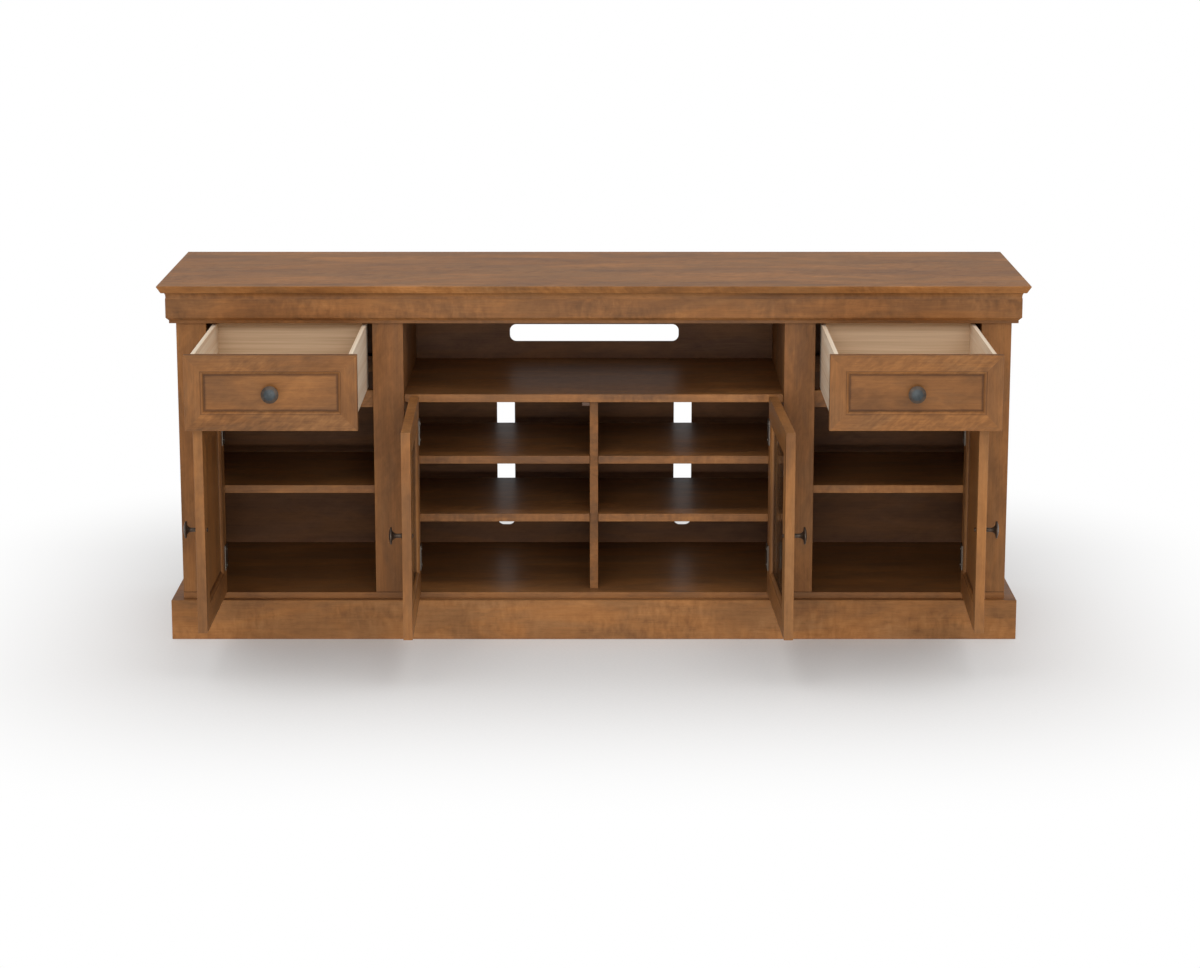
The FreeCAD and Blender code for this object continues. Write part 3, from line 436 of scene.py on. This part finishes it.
def number_boards(work, turned, node):
    """Writes each board's own coordinates, half size, tone with its painted light and shade, and strength of
    figure on its vertices.
    """
    dice = random.Random(node)
    grain = work.verts.layers.float_vector.new("grain")
    place = work.verts.layers.float_vector.new("place")
    half = work.verts.layers.float_vector.new("half")
    tone = work.verts.layers.float.new("tone")
    figure = work.verts.layers.float.new("figure")
    for found in separate_boards(work):
        points = [turned @ vertex.co for vertex in found]
        low = Vector([min(point[axis] for point in points) for axis in range(3)])
        high = Vector([max(point[axis] for point in points) for axis in range(3)])
        size = high - low
        order = sorted(range(3), key=lambda axis: -size[axis])
        start = Vector([dice.uniform(0, TIMBER_LENGTH) for _ in range(3)])
        level = dice.uniform(-1.0, 1.0) * TONE_SPREAD + BOARD_TONE_AND_SHADE.get(node, 0.0)
        calm = order[0] == 2 or node.endswith("_panel")
        for vertex, point in zip(found, points):
            local = point - (low + high) / 2
            own = Vector([local[axis] for axis in order])
            vertex[place] = own
            vertex[grain] = own + start
            vertex[half] = Vector([size[axis] / 2 for axis in order])
            vertex[tone] = level
            vertex[figure] = CALM_FIGURE if calm else 1.0


print("boards with a tone of their own", len(BOARD_TONE_AND_SHADE))

# %% [markdown]
# No wooden edge is truly sharp: a joiner takes off the arris with a few strokes of fine paper.
# That thin rounded line catches the light and makes boards read as separate pieces.
# A Bevel modifier on each node would do it, but the solids arrive as loose triangles, so the copy is
# first welded and its flat faces joined again, and then only its long convex edges are rounded.

# %% Eased copies
# Lengths are in metres. Only an edge longer than the shortest arris and sharper than its angle is eased.
WELD = 0.000002
FLAT_ANGLE = math.radians(0.5)
ARRIS_ANGLE = math.radians(40.0)
SHORTEST_ARRIS = 0.006
SMOOTH_ANGLE = math.radians(32.0)
PLAIN = {"ease": 0.0008, "steps": 2}
SMALL = {"ease": 0.0006, "steps": 2}
THIN = {"ease": 0.0006, "steps": 1}
FINE = {"ease": 0.0003, "steps": 1}
SHARP = {"ease": 0.0, "steps": 0}


def finished_piece(node, work, finish):
    """The finished mesh as an object that rides on the node's body and stands for the node."""
    mesh = bpy.data.meshes.new(node + "_eased")
    work.to_mesh(mesh)
    work.free()
    mesh.shade_smooth()
    mesh.set_sharp_from_angle(angle=SMOOTH_ANGLE)
    mesh.materials.append(finish)
    piece = bpy.data.objects.new(node + "_eased", mesh)
    scene.collection.objects.link(piece)
    even = piece.modifiers.new("even_shading", "WEIGHTED_NORMAL")
    even.keep_sharp = True
    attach(piece, frame["nodes"][node]["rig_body"])
    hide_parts(node)
    return piece


def turned_back(node):
    """The turn that shuts the door that a node belongs to, or no turn."""
    return shut.get(frame["nodes"][node]["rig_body"], Matrix.Identity(4))


def eased_copy(node, finish, slot, ease, steps):
    """A copy of a node's solids with rounded arrises, which stands for the node."""
    work = bmesh.new()
    work.from_mesh(frame["nodes"][node].data)
    bmesh.ops.remove_doubles(work, verts=work.verts, dist=WELD)
    bmesh.ops.dissolve_limit(work, angle_limit=FLAT_ANGLE, verts=work.verts, edges=work.edges)
    arrises = []
    for edge in work.edges:
        if len(edge.link_faces) == 2 and edge.is_convex and edge.calc_length() > SHORTEST_ARRIS:
            if edge.calc_face_angle(0.0) > ARRIS_ANGLE:
                arrises.append(edge)
    if ease and arrises:
        bmesh.ops.bevel(work, geom=arrises, offset=ease, segments=steps, profile=0.5, affect="EDGES",
                        clamp_overlap=True)
    number_boards(work, turned_back(node), node)
    return finished_piece(node, work, finish)


print("arrises are eased by", PLAIN["ease"] * 1000, "mm")

# %% [markdown]
# The wood is a pale hardwood under a warm brown stain and a satin lacquer. The stain soaks in unevenly,
# which gives soft clouds of orange and of purplish brown. A wood image could be mapped on, but noise
# that is stretched along each board never repeats. Slow noise makes the clouds, quicker noise the
# blotches, and very fine noise, drawn far out along the board, the fibres and pores.

# %% Noises of the wood
# The spans are the parts of a noise between none and all of what it stands for.
CLOUD = {"times": (2.6, 9.0, 9.0), "detail": 3.0, "roughness": 0.55, "distortion": 0.7}
BLOTCH = {"times": (13.0, 34.0, 34.0), "detail": 4.0, "roughness": 0.62, "distortion": 1.2}
FIBRE = {"times": (8.0, 300.0, 300.0), "detail": 3.0, "roughness": 0.65}
PORE = {"times": (55.0, 1500.0, 1500.0), "detail": 1.0}
HUE = {"times": (4.6, 19.0, 16.0), "detail": 3.0, "roughness": 0.6, "distortion": 0.9}
PORE_SPAN = (0.60, 0.72)
HUE_SPAN = (0.36, 0.62)
print("a bundle of fibres is about", round(1000.0 / FIBRE["times"][1], 1), "mm across")

# %% [markdown]
# The timber's curl shows as light flecks that lean across the grain, in patches. A wave texture would
# repeat too evenly, so one noise is turned and drawn out into strokes, and another one fades them.

# %% Flecks
# A stroke is as wide and as long as the first two sizes, in metres.
FLECK_LEAN = math.radians(-52.0)
FLECK_SIZE = (0.0075, 0.024, 0.024)
STROKE = {"detail": 2.0, "roughness": 0.55, "distortion": 0.3}
PATCH = {"times": (4.0, 11.0, 11.0), "detail": 1.0}
PATCH_FADE = {"low": 0.42, "high": 0.62, "start": 0.25, "end": 1.0}


def flecks(finish, grain):
    """Short light strokes that lean across the grain, strong in some patches and faint in others."""
    sockets = {"Vector": grain, "Rotation": (0.0, 0.0, FLECK_LEAN), "Scale": FLECK_SIZE}
    leaning = finish.add("ShaderNodeMapping", {"vector_type": "TEXTURE"}, sockets)
    stroke = finish.noise(leaning, **STROKE)
    patch = finish.noise(grain, **PATCH)
    return (stroke - 0.5) * finish.span(patch, **PATCH_FADE)


print("flecks lean", round(math.degrees(FLECK_LEAN)), "degrees")

# %% [markdown]
# Wear and stain gather along a board's edges, so a finish has to know how far away the nearest one is.
# Blender's pointiness depends on how finely a mesh is cut, and flat boards are hardly cut at all.
# A board's place and half size give the gap to its end on each axis. On a face the least gap is the one
# to the face itself, so the middle one of the three is the distance to the nearest arris.


# %% Distance to an arris
def edge_distance(finish):
    """Distance in metres to the nearest arris of the face that a point is on."""
    size = finish.vector("ABSOLUTE", finish.attribute("place"))
    gap = finish.vector("SUBTRACT", finish.attribute("half"), size)
    axes = [finish.axis(gap, name) for name in ("X", "Y", "Z")]
    smallest = axes[0].least(axes[1]).least(axes[2])
    largest = axes[0].most(axes[1]).most(axes[2])
    return axes[0] + axes[1] + axes[2] - smallest - largest


def foot_height(finish):
    """Height in metres above the low end of an upright board."""
    place, half = [finish.axis(finish.attribute(name), "X") for name in ("place", "half")]
    return place + half


print("distances ready")

# %% [markdown]
# One recipe serves all the stained boards, with other amounts from place to place. The glaze darkens the
# line where a panel meets its frame and the hollows of the frames' mouldings, partly as stain and partly as
# painted shade in those recesses. Over the whole of the cove and the frieze's foot moulding it is painted
# shade under the overhangs. The shelves are rubbed to more gloss, which is the coat. A dark joint shows
# where a post stands on the base, which is the foot. The arrises are worn to a lighter brown, and the pores
# stay dark.

# %% Stained wood
# How much each noise adds to the colour, the relief and the sheen. Distances are in metres from an arris or
# a foot: from the low one to the high one a dark line fades out, and wander makes it uneven.
SHARE = {"cloud": 0.62, "blotch": 0.36, "curl": 0.48, "fibre": 0.24, "tone": 0.10, "all": 0.11}
RELIEF = {"fibre": 0.6, "pores": 0.8, "curl": 0.5}
SHEEN = {"fibre": 0.14, "pores": 0.12, "cloud": 0.10}
# This dark colour is stain in the pores and at a post's foot, and stain with painted shade in the glaze.
DARK_STAIN_AND_SHADE = (*paint(58, 34, 20), 1.0)
WORN = {"low": 0.0003, "high": 0.0013, "start": 0.14, "end": 0.0}
WORN_WANDER = 0.0008
# The glaze line is partly stain and partly painted shade in the recess beside a frame.
GLAZE_AND_SHADE_LOW = 0.0006
GLAZE_AND_SHADE_HIGH = 0.0050
GLAZE_AND_SHADE_WANDER = 0.004
MOULD_GLAZE_AND_SHADE = 0.36
PORE_STAIN = 0.26
FOOT_LOW = 0.0006
FOOT_HIGH = 0.0024


def stained(name, warm, cool, rough, glaze=0.0, reach=0.0, coat=0.03, foot=0.0):
    """Stained wood in two hues. Reach is how far in from a board's edge the full glaze, partly painted
    shade, goes.
    """
    finish = Finish(name)
    grain = finish.attribute("grain")
    tone = finish.attribute("tone", "Fac")
    figure = finish.attribute("figure", "Fac")
    cloud = finish.noise(grain, **CLOUD)
    blotch = finish.noise(grain, **BLOTCH)
    fibre = finish.noise(grain, **FIBRE)
    pores = finish.span(finish.noise(grain, **PORE), *PORE_SPAN)
    curl = flecks(finish, grain)
    level = (cloud * SHARE["cloud"] + blotch * SHARE["blotch"] + curl * figure * SHARE["curl"]
             + fibre * SHARE["fibre"] + tone * SHARE["tone"] - SHARE["all"])
    warmth = finish.span(finish.noise(grain, **HUE), *HUE_SPAN)
    colour = finish.blend(warmth, finish.ramp(level, cool), finish.ramp(level, warm))
    edge = edge_distance(finish)
    worn = finish.span(edge + (cloud - 0.5) * WORN_WANDER, **WORN)
    colour = finish.blend(worn, colour, (*warm[-1][1], 1.0))
    # Here the dark line round a panel, the darkening of a whole strip, and the frames' moulding darkening
    # are partly stain and partly painted shade.
    inside = edge - reach + (blotch - 0.5) * GLAZE_AND_SHADE_WANDER
    line = finish.span(inside, GLAZE_AND_SHADE_LOW, GLAZE_AND_SHADE_HIGH, glaze, 0.0)
    moulded = finish.attribute("glaze", "Fac") * MOULD_GLAZE_AND_SHADE
    colour = finish.blend(line.most(moulded), colour, DARK_STAIN_AND_SHADE)
    colour = finish.blend(pores * PORE_STAIN, colour, DARK_STAIN_AND_SHADE)
    if foot:
        joint = finish.span(foot_height(finish), FOOT_LOW, FOOT_HIGH, foot, 0.0)
        colour = finish.blend(joint, colour, DARK_STAIN_AND_SHADE)
    height = fibre * RELIEF["fibre"] - pores * RELIEF["pores"] + curl * RELIEF["curl"]
    sheen = (rough + (fibre - 0.5) * SHEEN["fibre"] + pores * SHEEN["pores"]
             + (cloud - 0.5) * SHEEN["cloud"])
    sockets = {"Base Color": colour, "Roughness": sheen, "Specular IOR Level": 0.12,
               "Coat Weight": coat, "Coat Roughness": 0.28,
               "Normal": finish.bump(height, strength=0.10, distance=0.0005)}
    finish.finish_with(finish.principled(sockets))
    return finish.material


print("dark stain", [round(value, 3) for value in DARK_STAIN_AND_SHADE[:3]])

# %% [markdown]
# Each ramp runs from the darkest stain to the lightest. The back is a thin sheet with a duller and darker
# stain than the boards.

# %% Stained finishes
# The tongue is the part of a panel that its frame hides. A whole strip is wider than any moulding.
WARM = [(0.26, paint(112, 73, 40)), (0.44, paint(136, 90, 50)),
        (0.58, paint(155, 104, 58)), (0.78, paint(178, 122, 71))]
COOL = [(0.26, paint(100, 68, 42)), (0.44, paint(124, 84, 50)),
        (0.58, paint(140, 97, 58)), (0.78, paint(158, 112, 70))]
WARM_SHEET = [(0.26, paint(88, 56, 33)), (0.46, paint(112, 75, 46)),
              (0.62, paint(125, 84, 52)), (0.80, paint(138, 95, 61))]
COOL_SHEET = [(0.26, paint(81, 54, 37)), (0.46, paint(104, 71, 48)),
              (0.62, paint(116, 81, 56)), (0.80, paint(129, 91, 65))]
SATIN = 0.46
DULL = 0.62
TONGUE = 0.008
WHOLE_STRIP = 0.05

brown_wood = stained("brown_wood", WARM, COOL, SATIN)
# The cove and the frieze's foot moulding are darkened all over as painted shade under the overhangs.
shaded_wood = stained("shaded_wood", WARM, COOL, SATIN, glaze=0.15, reach=WHOLE_STRIP)
# A panel's dark line at its frame is partly stain and partly painted shade in the recess.
panel_wood = stained("panel_wood", WARM, COOL, SATIN, glaze=0.62, reach=TONGUE)
shelf_wood = stained("shelf_wood", WARM, COOL, SATIN, coat=0.11)
post_wood = stained("post_wood", WARM, COOL, SATIN, foot=0.75)
back_wood = stained("back_wood", WARM_SHEET, COOL_SHEET, DULL)
stained_finishes = [brown_wood, shaded_wood, panel_wood, shelf_wood, post_wood, back_wood]
print("stained finishes", [wood.name for wood in stained_finishes])

# %% [markdown]
# The drawer boxes are plain pale wood, unstained, with a fine straight grain that runs along each board.
# Straight grain is growth lines cut lengthwise, so the lines are noise that is stretched very far.
# The boxes' sides are more striped than their ends and floors, and they are made lighter as painted light
# from the sides, so one recipe is used twice.

# %% Pale wood
# The rim is the lighter line of a sawn arris, in metres from it.
DRIFT = {"times": (1.6, 6.0, 6.0), "detail": 2.0}
LINES = {"times": (1.3, 120.0, 120.0), "detail": 4.0, "roughness": 0.7, "distortion": 0.15}
HAIRS = {"times": (9.0, 900.0, 900.0), "detail": 2.0}
PALE_SHARE = {"drift": 0.25, "hairs": 0.20, "tone": 0.10}
RIM = {"low": 0.0002, "high": 0.0014, "start": 0.35, "end": 0.0}
RIM_WANDER = 0.002
RIM_COLOUR = (*paint(238, 214, 184), 1.0)


def pale(name, stops, contrast, lift):
    """Unstained wood: how strong its growth lines are, and how far its whole tone is lifted; the sides'
    larger lift is painted light.
    """
    finish = Finish(name)
    grain = finish.attribute("grain")
    tone = finish.attribute("tone", "Fac")
    drift = finish.noise(grain, **DRIFT)
    lines = finish.noise(grain, **LINES)
    hairs = finish.noise(grain, **HAIRS)
    level = ((lines - 0.5) * contrast + drift * PALE_SHARE["drift"] + hairs * PALE_SHARE["hairs"]
             + tone * PALE_SHARE["tone"] + lift)
    rim = finish.span(edge_distance(finish) + (drift - 0.5) * RIM_WANDER, **RIM)
    colour = finish.blend(rim, finish.ramp(level, stops), RIM_COLOUR)
    height = lines * 0.5 + hairs * 0.5
    sheen = 0.55 + (lines - 0.5) * 0.2
    sockets = {"Base Color": colour, "Roughness": sheen, "Specular IOR Level": 0.35,
               "Normal": finish.bump(height, strength=0.12, distance=0.0004)}
    finish.finish_with(finish.principled(sockets))
    return finish.material


# The sides' lighter stops are painted light from the sides.
LIT_SIDE_STOPS = [(0.34, paint(214, 185, 152)), (0.48, paint(232, 207, 177)),
              (0.60, paint(241, 221, 195)), (0.74, paint(247, 232, 210))]
END_STOPS = [(0.34, paint(192, 163, 130)), (0.48, paint(214, 187, 155)),
             (0.60, paint(228, 203, 173)), (0.74, paint(238, 217, 190))]
pale_side_lit_wood = pale("pale_side_lit_wood", LIT_SIDE_STOPS, contrast=0.85, lift=0.38)
pale_end_wood = pale("pale_end_wood", END_STOPS, contrast=0.50, lift=0.21)
print("pale finishes", pale_side_lit_wood.name, pale_end_wood.name)

# %% [markdown]
# The metal parts are small. Hinges, pins and slides are plain rolled steel, faintly brushed and grey
# rather than bright, and the catches are darkened. A mirror-like metal would look wrong at this size,
# so roughness carries most of the look, and only the arrises are rubbed lighter.

# %% Metals
# Metal is rubbed lighter within the rubbed distance of an arris, in metres.
METAL_PATCH = {"scale": 45.0, "detail": 3.0, "roughness": 0.55}
RUBBED = {"low": 0.0, "high": 0.0009, "start": 0.45, "end": 0.0}
RUBBED_WANDER = 0.0008
STEEL_STREAKS = (60.0, 900.0, 900.0)
CATCH_GRAINS = (300.0, 300.0, 300.0)


def metal(name, dark, light, rough, streaks, share=1.0, depth=0.08):
    """Metal with streaks and patches. Share is how much of it shines as metal, the rest as paint."""
    finish = Finish(name)
    place = finish.attribute("grain")
    brushed = finish.noise(place, streaks, detail=3.0, roughness=0.6)
    patch = finish.noise(place, **METAL_PATCH)
    level = brushed * 0.5 + patch * 0.5
    colour = finish.ramp(level, [(0.32, dark), (0.68, light)])
    worn = finish.span(edge_distance(finish) + (patch - 0.5) * RUBBED_WANDER, **RUBBED)
    colour = finish.blend(worn, colour, (*light, 1.0))
    sockets = {"Base Color": colour, "Metallic": share, "Roughness": rough + (level - 0.5) * 0.28,
               "Normal": finish.bump(level, depth, distance=0.0003)}
    finish.finish_with(finish.principled(sockets))
    return finish.material


steel = metal("rolled_steel", paint(92, 85, 78), paint(126, 118, 109), 0.48, STEEL_STREAKS)
catch_metal = metal("catch_bronze", paint(60, 40, 26), paint(86, 58, 38), 0.45, CATCH_GRAINS,
                    share=0.3, depth=0.1)
print("metals", steel.name, catch_metal.name)

# %% [markdown]
# The knobs look like bronze that has been darkened and waxed, brown at the rim and the neck. The blue grey
# in the middle of each one is a painted reflection of the white room. Two materials would meet in a hard
# line, so one material changes from the first to the second by the distance from the knob's own axis.

# %% Knob finish
# In metres: the rim by its distance from the axis, the neck by its distance along the axis.
KNOB_PATCH = {"scale": 160.0, "detail": 3.0, "roughness": 0.55}
# The blue grey stops are a painted reflection, and the brown ones are the bronze's own colour.
PAINTED_REFLECTION_STOPS = [(0.32, paint(49, 54, 56)), (0.68, paint(64, 69, 71))]
BROWN_STOPS = [(0.32, paint(58, 46, 37)), (0.68, paint(80, 66, 54))]
RIM_START = 0.0085
RIM_END = 0.0135
RIM_RAGGED = 0.004
NECK_START = -0.0105
NECK_END = -0.0085


def dark_bronze(name):
    """Dark bronze with a painted reflection in blue grey in the middle of a knob, and brown at its rim and
    neck.
    """
    finish = Finish(name)
    place = finish.attribute("place")
    radius = finish.vector("LENGTH", finish.vector("MULTIPLY", place, (1.0, 1.0, 0.0)), output="Value")
    patch = finish.noise(finish.attribute("grain"), **KNOB_PATCH)
    rim = finish.span(radius + (patch - 0.5) * RIM_RAGGED, RIM_START, RIM_END)
    neck = finish.span(finish.axis(place, "Z"), NECK_START, NECK_END)
    painted_reflection = finish.ramp(patch, PAINTED_REFLECTION_STOPS)
    brown = finish.ramp(patch, BROWN_STOPS)
    sockets = {"Base Color": finish.blend(rim.most(neck), painted_reflection, brown), "Metallic": 0.55,
               "Roughness": 0.44 + (patch - 0.5) * 0.25,
               "Normal": finish.bump(patch, strength=0.06, distance=0.0003)}
    finish.finish_with(finish.principled(sockets))
    return finish.material


bronze = dark_bronze("dark_bronze")
print("knobs", bronze.name)

# %% [markdown]
# The centre doors hold clear glass, seen almost edge on, where it mirrors more than it lets through.
# A refracting shader would also darken the shelves behind a shut door, because light can't find its way
# through it. This one is clear where it is seen square on and turns into a mirror at a shallow angle.

# %% Glass
GLASS_IOR = 1.5
GRIME = {"scale": 14.0, "detail": 4.0, "roughness": 0.6}
GLASS_TINT = (*paint(40, 40, 36), 1.0)
MIRROR_COVER = 0.55
FILM_COVER = 0.04
GRIME_COVER = 0.03


def clear_glass():
    """Clear glass with a faint film of grime, which covers more where it mirrors more."""
    finish = Finish("door_glass")
    mirror = finish.add("ShaderNodeFresnel", {}, {"IOR": GLASS_IOR})
    grime = finish.noise(finish.attribute("grain"), **GRIME)
    cover = mirror * MIRROR_COVER + FILM_COVER + (grime - 0.5) * GRIME_COVER
    smear = 0.02 + grime * 0.03
    sockets = {"Base Color": GLASS_TINT, "Roughness": smear, "IOR": GLASS_IOR, "Alpha": cover}
    finish.finish_with(finish.principled(sockets))
    return finish.material


glass = clear_glass()
print("glass", glass.name)

# %% [markdown]
# The drawer fronts and doors are framed panels. The frame's inner edge carries a small moulding: a fine
# sunk line, then a rounded slope down to the panel. A Bevel modifier could only round that edge.
# Here each stile and rail is drawn as the outline of its section, in metres across and down from the front's
# outer corner. The sunk line, the foot of the slope and the groove are darkened, partly as stain and partly
# as painted shade in these hollows, so each point of the outline also says how much of that darkening it
# has.

# %% Section of a frame member
# All lengths are in metres. The groove holds the panel, and the line is the sunk one.
FRONT_THICKNESS = 0.018
ARRIS = 0.0008
GROOVE = 0.009
MOULD_WIDTH = 0.0056
LINE_START = 0.0012
LINE_FLAT = 0.0008
SUNK = 0.0009
STEP = 0.0009
SLOPE_STEPS = 6
# How much the foot of the slope is darkened, partly as stain and partly as painted shade.
SLOPE_FOOT_GLAZE_AND_SHADE = 0.8


def face_side(member, recess):
    """One side of the section, from its outer arris to the panel: across, down and how much glaze and
    painted shade.
    """
    start = member - MOULD_WIDTH
    points = [(0.0, ARRIS, 0.0), (0.3 * ARRIS, 0.3 * ARRIS, 0.0), (ARRIS, 0.0, 0.0),
              (start - LINE_START, 0.0, 0.0), (start - LINE_FLAT, SUNK, 1.0), (start, SUNK, 1.0)]
    for step in range(1, SLOPE_STEPS + 1):
        turn = math.radians(90.0 * step / SLOPE_STEPS)
        across = start + (MOULD_WIDTH - STEP) * math.sin(turn)
        down = SUNK + (recess - STEP - SUNK) * (1.0 - math.cos(turn))
        points.append((across, down, SLOPE_FOOT_GLAZE_AND_SHADE if step == SLOPE_STEPS else 0.0))
    return points + [(member, recess - STEP, 1.0), (member, recess, 1.0)]


def section(member, recess, panel, both):
    """The whole outline of a stile or rail, with the moulding on both faces or on the front alone."""
    front = face_side(member, recess)
    behind = FRONT_THICKNESS - recess - panel
    groove = [(member - GROOVE, recess, 1.0), (member - GROOVE, recess + panel, 1.0)]
    if both:
        back = face_side(member, behind)
    else:
        back = front[:3] + [(member - ARRIS, 0.0, 0.0), (member, ARRIS, 0.0), (member, behind, 1.0)]
    rear = [(across, FRONT_THICKNESS - down, glaze) for across, down, glaze in reversed(back)]
    return front + groove + rear


DOOR_PANEL_SECTION = section(member=0.055, recess=0.006, panel=0.006, both=True)
DOOR_GLASS_SECTION = section(member=0.055, recess=0.007, panel=0.004, both=True)
DRAWER_SECTION = section(member=0.037, recess=0.006, panel=0.006, both=False)
print("section points", len(DOOR_PANEL_SECTION), len(DRAWER_SECTION))

# %% [markdown]
# The outline is carried along one side of the frame, with its ends cut at 45 degrees, just as a joiner
# runs a moulding and then saws the mitres. A curve with a profile would do the same, but its corners
# would be welded, and a real frame has four members with a joint between each two.


# %% Mitred frames
def shut_box(nodes, turned):
    """The box of some nodes with their door turned back to shut."""
    points = [turned @ vertex.co for node in nodes for vertex in frame["nodes"][node].data.vertices]
    return [Vector([pick(point[axis] for point in points) for axis in range(3)]) for pick in (min, max)]


def member_ring(work, glaze_and_shade_layer, outline, corner, across_way, low_y, back_to_rest):
    """The cut end of a member: its outline, set out from one corner of the frame."""
    ring = []
    for across, down, glaze in outline:
        spot = corner + across_way * across
        vertex = work.verts.new(back_to_rest @ Vector((spot.x, low_y + down, spot.y)))
        vertex[glaze_and_shade_layer] = glaze
        ring.append(vertex)
    return ring


def moulded_members(node, sides, whole, finish, outline):
    """The stiles or rails of one front, which stand for a node. Side 0 is the low rail, and so on round."""
    turned = turned_back(node)
    back_to_rest = turned.inverted()
    low, high = shut_box(whole, turned)
    corners = [Vector((low.x, low.z)), Vector((high.x, low.z)),
               Vector((high.x, high.z)), Vector((low.x, high.z))]
    work = bmesh.new()
    glaze_and_shade_layer = work.verts.layers.float.new("glaze")
    for side in sides:
        first = corners[side]
        last = corners[(side + 1) % 4]
        along = (last - first).normalized()
        inward = Vector((-along.y, along.x))
        start = member_ring(work, glaze_and_shade_layer, outline, first, along + inward, low.y, back_to_rest)
        end = member_ring(work, glaze_and_shade_layer, outline, last, inward - along, low.y, back_to_rest)
        for step in range(len(outline)):
            after = (step + 1) % len(outline)
            work.faces.new((start[step], start[after], end[after], end[step]))
        work.faces.new(start)
        work.faces.new(end)
    bmesh.ops.recalc_face_normals(work, faces=work.faces)
    number_boards(work, turned, node)
    return finished_piece(node, work, finish)


print("fronts", [name for name in frame["nodes"] if name.endswith("_front_frame")])

# %% [markdown]
# Each board of the case now gets its eased copy. The small mouldings and the frieze are eased less,
# because their edges are crisp in the photograph. A table of boards is easier to change than a rule
# that sorts them by name.

# %% Case boards
CASE_BOARDS = [
    ("top_slab", brown_wood, PLAIN),
    ("cove_moulding", shaded_wood, FINE),
    ("frieze_boards", brown_wood, FINE),
    ("frieze_foot_moulding", shaded_wood, FINE),
    ("top_rail", brown_wood, PLAIN),
    ("outer_stiles", post_wood, PLAIN),
    ("inner_stiles", post_wood, PLAIN),
    ("side_panels", brown_wood, PLAIN),
    ("partitions", brown_wood, PLAIN),
    ("centre_divider", brown_wood, PLAIN),
    ("bottom_panel", shelf_wood, PLAIN),
    ("niche_shelf", shelf_wood, PLAIN),
    ("drawer_rails", brown_wood, PLAIN),
    ("media_shelves", shelf_wood, PLAIN),
    ("side_shelves", shelf_wood, PLAIN),
    ("plinth_boards", brown_wood, PLAIN),
    ("plinth_brace", brown_wood, PLAIN),
]
made = {}
for node, wood, easing in CASE_BOARDS:
    made[node] = eased_copy(node, wood, "stained_wood", **easing)
print("case boards", len(made))

# %% [markdown]
# A door is two stiles and two rails round a panel, or round glass in the centre doors. The panel keeps
# sharp edges, because they sit in the frame's groove where nobody sees them.

# %% Doors
for door in ("door_left_outer", "door_left_centre", "door_right_centre", "door_right_outer"):
    stiles = door + "_stiles"
    rails = door + "_rails"
    panel = door + "_panel"
    outline = DOOR_PANEL_SECTION if panel in frame["nodes"] else DOOR_GLASS_SECTION
    made[stiles] = moulded_members(stiles, (1, 3), [stiles, rails], brown_wood, outline)
    made[rails] = moulded_members(rails, (0, 2), [stiles, rails], brown_wood, outline)
    if panel in frame["nodes"]:
        made[panel] = eased_copy(panel, panel_wood, "stained_wood", **SHARP)
print("with doors", len(made))

# %% [markdown]
# A drawer has a framed front and a pale box behind it. Its front's four members are one node, so they
# are drawn in one go. The back of the case is a thin sheet, whose sawn edges stay sharp.

# %% Drawers and back
BOX_WOODS = [("_box_sides", pale_side_lit_wood), ("_box_ends", pale_end_wood), ("_box_floor", pale_end_wood)]
for drawer in ("drawer_left", "drawer_right"):
    front = drawer + "_front_frame"
    panel = drawer + "_front_panel"
    made[front] = moulded_members(front, (0, 1, 2, 3), [front], brown_wood, DRAWER_SECTION)
    made[panel] = eased_copy(panel, panel_wood, "stained_wood", **SHARP)
    for part, wood in BOX_WOODS:
        made[drawer + part] = eased_copy(drawer + part, wood, "pale_wood", **SMALL)
made["back_panel"] = eased_copy("back_panel", back_wood, "back_sheet", **SHARP)
print("wooden pieces", len(made))

# %% [markdown]
# What is left is glass, knobs, catches and steel. Turned metal keeps its own round shape, and pressed
# metal gets a very fine arris. Picking these by name keeps the list short, since nearly all are steel.

# %% Metal and glass pieces
for node in sorted(frame["nodes"]):
    if node in made:
        continue
    if node.endswith("_glass"):
        made[node] = eased_copy(node, glass, "clear_glass", **THIN)
    elif node.endswith("_knob"):
        made[node] = eased_copy(node, bronze, "dark_metal", **SHARP)
    elif node == "door_catches":
        made[node] = eased_copy(node, catch_metal, "catch_metal", **SMALL)
    else:
        made[node] = eased_copy(node, steel, "bright_steel", **FINE)
print("all pieces", len(made), "of", len(frame["nodes"]))
